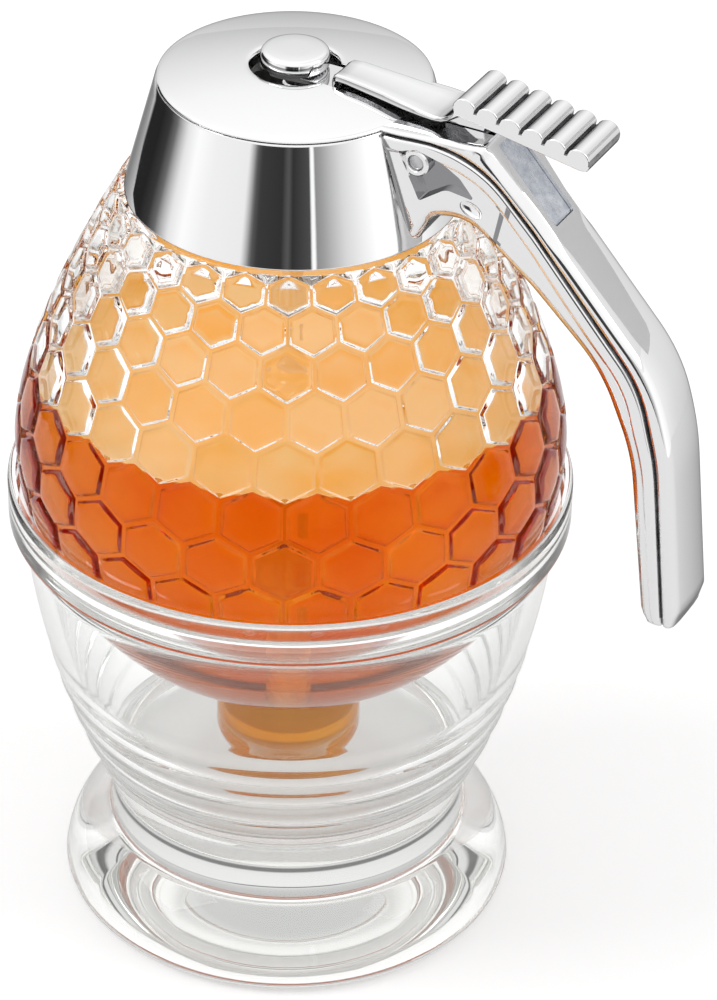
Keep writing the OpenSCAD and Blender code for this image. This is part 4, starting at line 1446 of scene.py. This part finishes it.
        rings = [
            self.lines.ring(along(parting, t), along(belly, low_share(t)), pattern, crown, sole)
            for t in (0.995 * i / 96 for i in range(97))
        ]
        shell = lofted(rings + self.end_caps(rings[-1], 0.45))
        _, x1, half = self.slot
        px, pz = self.pivot
        pocket = rounded(
            [
                (px - 2.4, pz + 1.8, 0.3), (px + 0.9, pz - 5.7, 0.3), (px + 4.9, pz - 3, 2), (px + 9.4, pz - 4, 0.3),
                (px + 7, pz - 0.8, 2), (px + 4, pz + 1.3, 2), (px + 0.4, pz + 2.6, 0.4),
            ],
            5, closed=True,
        )
        cutters = [box((px - 3.8, -half, pz - 3.0), (x1, half, 150))]
        for low, high in ((-9.5, -self.pocket_y), (self.pocket_y, 9.5)):
            cutters.append(plate(pocket, low, high, upright))
        x, z = self.dimple
        for sign in (-1, 1):
            dimple = bmesh.new()
            bmesh.ops.create_icosphere(dimple, subdivisions=4, radius=MM)
            bmesh.ops.scale(dimple, vec=(1.9, 0.75, 1.9 * 0.62), verts=dimple.verts)
            tilt = Matrix.Rotation(math.radians(28), 3, "Y")
            bmesh.ops.rotate(dimple, matrix=tilt, verts=dimple.verts)
            place = Vector((x, sign * (self.lines.half_width(x) - 0.17), z)) * MM
            bmesh.ops.translate(dimple, vec=place, verts=dimple.verts)
            cutters.append(dimple)
        return carved(shell, cutters)

    def in_pocket(self, face: bmesh.types.BMFace) -> bool:
        """Whether a face is the bottom of a pocket beside the pin."""
        depth = abs(face.calc_center_median().y)
        return abs(face.normal.y) > 0.95 and abs(depth - self.pocket_y * MM) < 0.05 * MM

    def bosses(self) -> bmesh.types.BMesh:
        """The rings round the pin's ends, in both pockets."""
        half = self.lines.half_width(self.pivot[0]) - 0.55
        parts = []
        for sign in (-1, 1):
            ring = [
                (self.pin_r + 0.02, half - 2.2), (self.pin_r + 0.02, half - 0.12), (self.pin_r + 0.12, half),
                (self.pin_r + 0.62, half), (self.pin_r + 0.85, half - 0.22), (self.pin_r + 0.95, half - 2.2),
            ]
            part = turned(ring, 48, closed=True)
            lay_on_pivot(part, self.pivot, 90 * -sign)
            parts.append(part)
        whole = joined(parts)
        bmesh.ops.recalc_face_normals(whole, faces=whole.faces)
        return whole

    def pin(self) -> bmesh.types.BMesh:
        """The pivot pin with slightly rounded ends."""
        r, half = self.pin_r, 7.1
        outline = [
            (0, -half), (0.7, -half + 0.02), (1.05, -half + 0.1), (r, -half + 0.35), (r, 0),
            (r, half - 0.35), (1.05, half - 0.1), (0.7, half - 0.02), (0, half),
        ]
        bm = turned(outline, 48)
        lay_on_pivot(bm, self.pivot)
        return bm

    def spring(self) -> bmesh.types.BMesh:
        """The return spring: one wire wound up the rod."""
        curls, steps, radius, wire = 7, 40, 3.4, 0.4
        low, high = self.spring_ends
        rise = (high - low - 4 * wire) / curls
        bm = bmesh.new()
        place = Matrix.Translation(Vector((radius, 0, low + 2 * wire)) * MM)
        made = bmesh.ops.create_circle(
            bm, cap_ends=True, radius=wire * MM, segments=12,
            matrix=place @ Matrix.Rotation(math.radians(90), 4, "X"),
        )
        geom = list(made["verts"]) + list({e for v in made["verts"] for e in v.link_edges}) + list(bm.faces)
        bmesh.ops.spin(
            bm, geom=geom, cent=(0, 0, 0), axis=(0, 0, 1), dvec=(0, 0, rise / steps * MM),
            angle=TURN * curls, steps=steps * curls, use_merge=False,
        )
        tidy(bm)
        parts = [bm]
        for z0, z1 in ((low, low + 2.2 * wire), (high - 2.2 * wire, high)):
            parts.append(post((radius, 0, (z0 + z1) / 2), wire, z1 - z0, 12))
        return joined(parts)

    def build(self, shop: Shop) -> None:
        """Makes the cap's pieces and dresses the nodes that stay."""
        chromed = {"surface": Surface.CHROME, "body": "cap", "slot": "chrome", "sharp": 35, "even": True}
        # painted shade: the groove along the parting line takes the dark metal
        groove = (Surface.PAINTED_SHADE, self.lines.in_groove)
        # painted shade: the pockets' floors take the dark chrome
        pocket = (Surface.CHROME_PAINTED_SHADE, self.in_pocket)
        shop.piece(self.lid_disc(), "lid_disc", nodes=["lid_cover"], **chromed)
        shop.piece(self.strip(), "handle_back", nodes=["lid_cover"], others=[groove], **chromed)
        panel = self.panel_block(0.79, -0.55, 0.06)
        shop.piece(panel, "handle_panel", Surface.PANEL, "cap", ["lid_cover"], "chrome", sharp=35)
        shop.piece(self.cone(), "cap_cone", nodes=["cap_body"], **chromed)
        shop.piece(self.web(), "handle_web", nodes=["cap_body"], others=[groove, pocket], **chromed)
        shop.piece(self.bosses(), "pin_bosses", nodes=["cap_body"], **chromed)
        shop.piece(self.pin(), "pivot_pin_turned", Surface.STEEL, "cap", ["pivot_pin"], "steel", sharp=35)
        spring = shop.piece(self.spring(), "return_spring_wound", Surface.STEEL, "cap", ["return_spring"], "steel")
        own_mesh(spring)
        for node in ("cover_screws", "liner_screws"):
            shop.dress(node, Surface.DARK_STEEL)
        for node in ("thread_liner", "guide_bush"):
            shop.dress(node, Surface.WHITE_PLASTIC)
        shop.dress("neck_gasket", Surface.SILICONE)
        shop.dress("guide_seal", Surface.SEAL_RUBBER)
        shop.dress("spring_washer", Surface.STEEL)


# ------------------------------------------------------------------ lever


@dataclass
class Lever:
    """The thumb lever: ribbed pad, arm, fork and the fin with its hub."""

    lid_z: float = 145.2
    pivot: Point = (23.8, 140.4)
    pad_x: float = 30.2
    pad_z: float = 149.6
    slope: float = 0.178
    pitch: float = 3.6
    ribs: int = 6
    rib_r: float = 1.9
    pad_w: float = 5.2
    fork_w: float = 3.1
    fin_w: float = 1.9
    prong_z: float = 145.55
    valley_z: float = 0.4

    def in_valley(self, face: bmesh.types.BMFace) -> bool:
        """Whether a face lies in the narrow groove between two ribs."""
        x, _, z = face.calc_center_median() / MM
        from_rib = (x - self.pad_x) % self.pitch
        return abs(from_rib - self.pitch / 2) < 0.2 and abs(z - self.pad_line(x) - self.valley_z) < 0.5

    def pad_line(self, x: float) -> float:
        """Height of the line through the ribs' middles."""
        return self.pad_z - self.slope * (x - self.pad_x)

    def pad(self) -> bmesh.types.BMesh:
        """The pad: its ribs are arcs along its side outline."""
        end = self.pad_x + (self.ribs - 1) * self.pitch
        outline = [(self.pad_x - 1.5, self.pad_line(self.pad_x) - 1.0)]
        half = math.radians(32)
        for i in range(self.ribs):
            x = self.pad_x + i * self.pitch
            z = self.pad_line(x)
            tilt = math.atan(self.slope)
            first = math.pi - (half if i else 0.0) - tilt
            last = (half if i < self.ribs - 1 else -0.25) - tilt
            for k in range(13):
                a = first + (last - first) * k / 12
                outline.append((x + self.rib_r * math.cos(a), z + self.rib_r * math.sin(a)))
            if i < self.ribs - 1:
                middle = x + self.pitch / 2
                floor = self.pad_line(middle) + self.valley_z
                outline += [(middle - 0.16, floor), (middle + 0.16, floor)]
        outline += [(end + 1.5, self.pad_line(end) - 1.25), (end + 0.4, self.pad_line(end) - 1.35)]
        return plate(outline, -self.pad_w, self.pad_w, upright, bevel=0.34, segments=3)

    def arm(self) -> bmesh.types.BMesh:
        """The arm from the fork to the pad, with soft edges and a dished top."""
        z = self.lid_z
        rows = (
            # x, underside, top, half width
            (7.4, z + 0.9, z + 2.3, 2.3), (7.7, z + 0.6, z + 2.9, 2.6), (8.4, z + 2.0, z + 3.4, 2.9),
            (10.0, z + 2.0, z + 3.4, 3.05), (13.1, z + 1.55, z + 3.1, 3.2), (16.4, z + 1.2, z + 2.75, 3.45),
            (19.7, z + 0.85, z + 2.3, 3.75), (22.5, z + 0.75, z + 1.95, 4.0), (24.6, z + 0.8, z + 1.75, 4.2),
            (26.2, z + 1.1, z + 1.95, 4.5), (27.4, z + 1.7, z + 2.6, 4.8), (28.4, z + 2.4, z + 3.7, 5.0),
            (29.3, z + 3.0, z + 5.0, 5.1), (30.4, z + 3.4, z + 5.2, 5.1),
        )
        sections = []
        for x, low, top, half in rows:
            edge = min(0.45, (top - low) * 0.3)
            ring = []
            for y, h in (
                (-half, low + edge), (-half, top - edge), (-half + 0.12, top - edge * 0.35), (-half + edge, top),
                (-half * 0.5, top - 0.1), (0, top - 0.14), (half * 0.5, top - 0.1), (half - edge, top),
                (half - 0.12, top - edge * 0.35), (half, top - edge), (half, low + edge), (half - edge, low),
                (0, low), (-half + edge, low),
            ):
                ring.append(Vector((x, y, h)) * MM)
            sections.append(ring)
        return lofted(sections)

    def fork(self) -> bmesh.types.BMesh:
        """The two prongs under the button."""
        w, s = self.fork_w, 1.8
        outline = rounded(
            [
                (-3, -w, 0.8), (-3, -s, 0.5), (3.5, -s, 1.4), (3.5, s, 1.4), (-3, s, 0.5), (-3, w, 0.8),
                (8.6, w, 0.3), (8.6, -w, 0.3),
            ],
            4, closed=True,
        )
        return plate(outline, self.prong_z, self.prong_z + 1.0, level, bevel=0.15, segments=2)

    def fin(self) -> bmesh.types.BMesh:
        """The fin that goes down through the slot, and the hub on the pin."""
        px, pz = self.pivot
        z = self.lid_z
        outline = [
            (px + 1.2, pz + 1.5), (25.6, pz + 3.2), (25.6, z + 1.2), (self.pad_x - 0.5, z + 3.6), (32.2, z + 3.6),
            (32.0, z - 0.4), (30.0, z - 3), (px + 2.2, pz - 0.6),
        ]
        blade = plate(outline, -self.fin_w, self.fin_w, upright, bevel=0.2, segments=2)
        ring = [(1.3, -1.9), (1.3, 1.9), (2.2, 1.9), (2.4, 1.7), (2.4, -1.7), (2.2, -1.9)]
        hub = turned(ring, 48, closed=True)
        lay_on_pivot(hub, self.pivot)
        return joined([blade, hub])

    def build(self, shop: Shop) -> None:
        """Makes the lever's pieces."""
        # painted shade: the pad's valleys and the faces under the arm and the fork take a dark metal
        for name, bm, painted_shade_faces in (
            ("thumb_pad", self.pad(), self.in_valley),
            ("lever_arm", self.arm(), lambda face: face.normal.z < -0.3),
            ("lever_fork", self.fork(), lambda face: face.normal.z < -0.9),
            ("lever_fin", self.fin(), lambda face: False),
        ):
            shop.piece(
                bm, name, Surface.CHROME_LEVER, "trigger", ["trigger_lever"], "chrome", sharp=40, even=True,
                others=[(Surface.PAINTED_SHADE, painted_shade_faces)],
            )


# ----------------------------------------------------------------- plunger


@dataclass
class Plunger:
    """The button and the rod with its collar and stopper."""

    button_r: float = 5.1
    button_z: float = 146.9
    button_h: float = 2.6

    def button(self) -> bmesh.types.BMesh:
        """The domed button on the rod's end."""
        z, top, r = self.button_z, self.button_z + self.button_h, self.button_r
        outline = [
            (0, z), (2.5, z), (r - 0.5, z), (r - 0.15, z + 0.12), (r, z + 0.4), (r, z + 1.2),
            (r - 0.02, top - 0.75),
            (r - 0.12, top - 0.45), (r - 0.3, top - 0.22), (r - 0.6, top - 0.1), (r - 1.0, top - 0.05),
            (2.2, top - 0.01), (0, top),
        ]
        return turned(outline, 96)

    def rod(self) -> bmesh.types.BMesh:
        """The rod, with chamfered steps and the clip's groove."""
        outline = [
            (0, 26.2), (1.2, 26.2), (1.5, 26.5), (1.5, 36.5), (1.9, 36.6), (2.0, 36.8), (2.0, 115.9), (1.5, 115.98),
            (1.5, 116.82), (2.0, 116.9), (2.0, 143.6), (1.8, 143.9), (1.5, 143.9), (1.5, 148.2), (0, 148.2),
        ]
        return turned(outline, 48)

    def build(self, shop: Shop) -> None:
        """Makes the plunger's pieces and dresses the nodes that stay."""
        shop.piece(
            self.button(), "lift_button_domed", Surface.CHROME, "plunger", ["lift_button"], "chrome", sharp=60
        )
        shop.piece(
            self.rod(), "plunger_rod_turned", Surface.SATIN_STEEL, "plunger", ["plunger_rod"], "steel", sharp=30
        )
        for node in ("stopper_carrier", "stopper_washer", "stopper_nut"):
            shop.dress(node, Surface.SATIN_STEEL)
        shop.dress("spring_collar", Surface.STEEL)
        shop.dress("collar_clip", Surface.DARK_STEEL)
        shop.dress("stopper_cone", Surface.AMBER_SILICONE)


# ------------------------------------------------------------------ studio


@dataclass
class Studio:
    """The pale floor, the soft light and the camera."""

    eye: tuple[float, float, float] = (249.8, -456.8, 420.3)
    aim: tuple[float, float, float] = (9.46, 4.92, 70.3)
    roll: float = 0.0220
    lens: float = 144.0
    wall_r: float = 0.4
    wall_h: float = 0.24
    # direction about the jar's axis in degrees, and the wall's grey there
    wall_greys: tuple[Point, ...] = (
        (-180, 0.02), (-168, 0.04), (-160, 0.14), (-154, 0.42), (-147, 0.76), (-136, 0.95), (-120, 0.84),
        (-94, 0.8), (-88, 0.1), (-84, 0.04), (-69, 0.03), (-65, 0.09), (-62, 0.03), (-50, 0.07), (-49.2, 0.95),
        (-47.8, 0.95), (-47.2, 0.25), (-42, 0.33), (-28, 0.66), (-6, 1.0), (28, 0.9), (44, 0.75), (70, 0.75),
        (86, 0.9), (140, 0.95), (158, 0.9), (162, 0.03), (180, 0.02),
    )
    side_greys: tuple[Point, ...] = ((0, 1), (30, 0.88), (66, 0.84), (96, 1))
    # height over the horizon, from 0 to 1, and the surround's grey there
    overhead_greys: tuple[Point, ...] = (
        (0.0, 0.97), (0.12, 0.88), (0.3, 0.96), (0.5, 1.04), (0.6, 1.1), (1.0, 1.15),
    )
    # the same as seen through glass: the dark band gives the glass its dark streaks
    glass_greys: tuple[Point, ...] = (
        (0.0, 1.0), (0.2, 0.97), (0.27, 0.92), (0.3, 0.25), (0.36, 0.25), (0.4, 0.85), (0.55, 0.75), (0.75, 0.6),
        (1.0, 0.85),
    )
    # the card beside the handle: its side edges' directions, its heights in metres and its grey
    card_span: Point = (40, 76)
    card_r: float = 0.37
    card_heights: Point = (0.2, 0.283)
    card_grey: float = 0.72

    @staticmethod
    def by_direction(greys: Sequence[Point]) -> list[Point]:
        """Turns directions in degrees into shares of a turn from -X."""
        return [((degrees + 180) / 360, grey) for degrees, grey in greys]

    def camera(self) -> None:
        """Sets the camera at the photograph's view."""
        eye, aim = Vector(self.eye), Vector(self.aim)
        ahead = (aim - eye).normalized()
        right = ahead.cross(Vector((0, 0, 1))).normalized()
        up = right.cross(ahead)
        c, s = math.cos(self.roll), math.sin(self.roll)
        across, rise = c * right + s * up, c * up - s * right
        turn = Matrix((across, rise, -ahead)).transposed().to_4x4()
        data = bpy.data.cameras.new("view_camera")
        data.lens = self.lens
        data.sensor_width = 36
        data.clip_start, data.clip_end = 0.01, 50
        camera = bpy.data.objects.new("view_camera", data)
        camera.matrix_world = Matrix.Translation(eye * MM) @ turn
        bpy.context.scene.collection.objects.link(camera)
        bpy.context.scene.camera = camera

    def by_ray(self, w: Wiring, camera: float, glass: object, mirror: object, rest: float) -> bpy.types.Node:
        """A grey that depends on the kind of ray.

        Args:
            w: the wiring to add to.
            camera: the grey that the camera sees.
            glass: a grey, or an output that gives it, for rays through glass.
            mirror: the same for mirrored rays.
            rest: the grey that lights dull faces.

        Returns:
            A mix node whose result is the colour.
        """
        path = w.add("ShaderNodeLightPath")
        last = None
        for kind, value in (("Glossy", mirror), ("Transmission", glass), ("Camera", camera)):
            mix = w.add("ShaderNodeMix", data_type="RGBA")
            w.link(path, f"Is {kind} Ray", mix, "Factor")
            if last is None:
                mix.inputs[MIX_A].default_value = (rest, rest, rest, 1)
            else:
                w.link(last, MIX_RESULT, mix, MIX_A)
            if isinstance(value, bpy.types.NodeSocket):
                w.tree.links.new(value, mix.inputs[MIX_B])
            else:
                mix.inputs[MIX_B].default_value = (value, value, value, 1)
            last = mix
        return last

    def floor(self) -> None:
        """A wide pale floor that reads as white and keeps the shadow."""
        bm = bmesh.new()
        place = Matrix.Translation((0, 0, -0.0003))
        bmesh.ops.create_circle(bm, cap_ends=True, radius=5, segments=96, matrix=place)
        obj = draft_object(bm, "floor")
        material, w, shader = new_material(
            "floor_white", base_color=(0.88, 0.88, 0.88), roughness=1, specular_ior_level=0, emission_strength=1
        )
        glow = self.by_ray(w, camera=0.38, glass=0.5, mirror=0.08, rest=0.0)
        w.link(glow, MIX_RESULT, shader, "Emission Color")
        obj.data.materials.append(material)

    def ramp(self, w: Wiring, source: bpy.types.NodeSocket, stops: Sequence[Point]) -> bpy.types.Node:
        """A grey that follows a value.

        Args:
            w: the wiring to add to.
            source: the value, from 0 to 1.
            stops: pairs of value and grey.

        Returns:
            The ramp's node.
        """
        ramp = w.add("ShaderNodeValToRGB")
        while len(ramp.color_ramp.elements) < len(stops):
            ramp.color_ramp.elements.new(0.5)
        for element, (place, shade) in zip(ramp.color_ramp.elements, stops):
            element.position = place
            element.color = (shade, shade, shade, 1)
        w.tree.links.new(source, ramp.inputs["Fac"])
        return ramp

    def direction(self, w: Wiring, places: bpy.types.Node, output: str) -> tuple[bpy.types.Node, bpy.types.Node]:
        """The direction about the jar's axis as a share of a turn from -X.

        Args:
            w: the wiring to add to.
            places: a texture coordinate node.
            output: which of its outputs to read.

        Returns:
            The node with the separate axes and the node with the share.
        """
        parts = w.add("ShaderNodeSeparateXYZ")
        angle = w.add("ShaderNodeMath", operation="ARCTAN2")
        share = w.add("ShaderNodeMapRange", from_min=-math.pi, from_max=math.pi)
        w.link(places, output, parts, "Vector")
        w.link(parts, "Y", angle, 0)
        w.link(parts, "X", angle, 1)
        w.link(angle, 0, share, "Value")
        return parts, share

    def world(self) -> None:
        """A white surround: its greys over the horizon show only in metal and glass."""
        world = bpy.data.worlds.new("surround")
        bpy.context.scene.world = world
        world.use_nodes = True
        w = Wiring(world.node_tree)
        background = next(n for n in world.node_tree.nodes if n.type == "BACKGROUND")
        places = w.add("ShaderNodeTexCoord")
        parts, share = self.direction(w, places, "Generated")
        height = parts.outputs["Z"]
        overhead = self.ramp(w, height, self.overhead_greys)
        around = self.ramp(w, share.outputs["Result"], self.by_direction(self.side_greys))
        mirror = w.add("ShaderNodeMix", data_type="RGBA", blend_type="MULTIPLY", factor=1)
        w.link(overhead, "Color", mirror, MIX_A)
        w.link(around, "Color", mirror, MIX_B)
        glass = self.ramp(w, height, self.glass_greys)
        grey = self.by_ray(
            w, camera=1.0, glass=glass.outputs["Color"], mirror=mirror.outputs[MIX_RESULT], rest=0.62
        )
        w.link(grey, MIX_RESULT, background, "Color")
        w.fill(background, strength=1.0)

    def wall(self) -> None:
        """An upright ring of soft light and black cloth that only mirrors see."""
        bm = bmesh.new()
        verts = [bm.verts.new((self.wall_r, 0, z)) for z in (0.0, self.wall_h)]
        edge = bm.edges.new(verts)
        bmesh.ops.spin(
            bm, geom=verts + [edge], cent=(0, 0, 0), axis=(0, 0, 1), angle=TURN, steps=96, use_merge=True
        )
        obj = draft_object(bm, "mirror_wall")
        material, w, shader = new_material(
            "mirror_wall", base_color=(0, 0, 0), roughness=1, specular_ior_level=0, emission_strength=1.15
        )
        share = self.direction(w, w.add("ShaderNodeTexCoord"), "Object")[1]
        ramp = self.ramp(w, share.outputs["Result"], self.by_direction(self.wall_greys))
        w.link(ramp, "Color", shader, "Emission Color")
        obj.data.materials.append(material)
        self.mirrors_only(obj)

    def mirrors_only(self, obj: bpy.types.Object) -> None:
        """Makes a card that only mirrored rays see."""
        obj.visible_camera = False
        obj.visible_diffuse = False
        obj.visible_transmission = False
        obj.visible_shadow = False

    def rib_card(self) -> None:
        """A flat upright card that the pad's ribs and the handle's back mirror."""
        bm = bmesh.new()
        r, (low, high) = self.card_r, self.card_heights
        verts = [bm.verts.new((r * math.cos(a), r * math.sin(a), low)) for a in map(math.radians, self.card_span)]
        edge = bm.edges.new(verts)
        made = bmesh.ops.extrude_edge_only(bm, edges=[edge])["geom"]
        raised = [item for item in made if isinstance(item, bmesh.types.BMVert)]
        bmesh.ops.translate(bm, verts=raised, vec=(0, 0, high - low))
        obj = draft_object(bm, "rib_card")
        grey = (self.card_grey, self.card_grey, self.card_grey)
        obj.data.materials.append(new_material("rib_card", base_color=grey, roughness=1)[0])
        self.mirrors_only(obj)

    def lamp(self, name: str, place: Sequence[float], size: float, power: float) -> None:
        """A square soft lamp that faces the jar."""
        data = bpy.data.lights.new(name, "AREA")
        data.shape = "SQUARE"
        data.size = size
        data.energy = power
        obj = bpy.data.objects.new(name, data)
        spot = Vector(place)
        obj.location = spot
        obj.rotation_euler = (Vector((0, 0, 0.08)) - spot).to_track_quat("-Z", "Y").to_euler()
        bpy.context.scene.collection.objects.link(obj)

    def build(self) -> None:
        """Sets up the floor, the surround, the card, the lamps and the camera."""
        scene = bpy.context.scene
        scene.view_settings.view_transform = "Standard"
        scene.cycles.max_bounces = 24
        scene.cycles.glossy_bounces = 16
        scene.cycles.transmission_bounces = 24
        self.floor()
        self.world()
        self.wall()
        self.rib_card()
        self.lamp("key_lamp", (-0.9, -0.7, 1.3), 0.8, 7)
        self.lamp("fill_lamp", (1.1, 0.3, 1.0), 0.8, 3.5)
        self.camera()


def main() -> None:
    """Builds the studio and every piece of the dispenser, in order."""
    logging.basicConfig(level=logging.INFO, format="%(name)s: %(message)s")
    Studio().build()
    shop = Shop()
    for assembly in (Stand(), Jar(), Cap(), Lever(), Plunger()):
        assembly.build(shop)
    LOG.info("%d pieces made", shop.count)


if __name__ == "__main__":
    main()
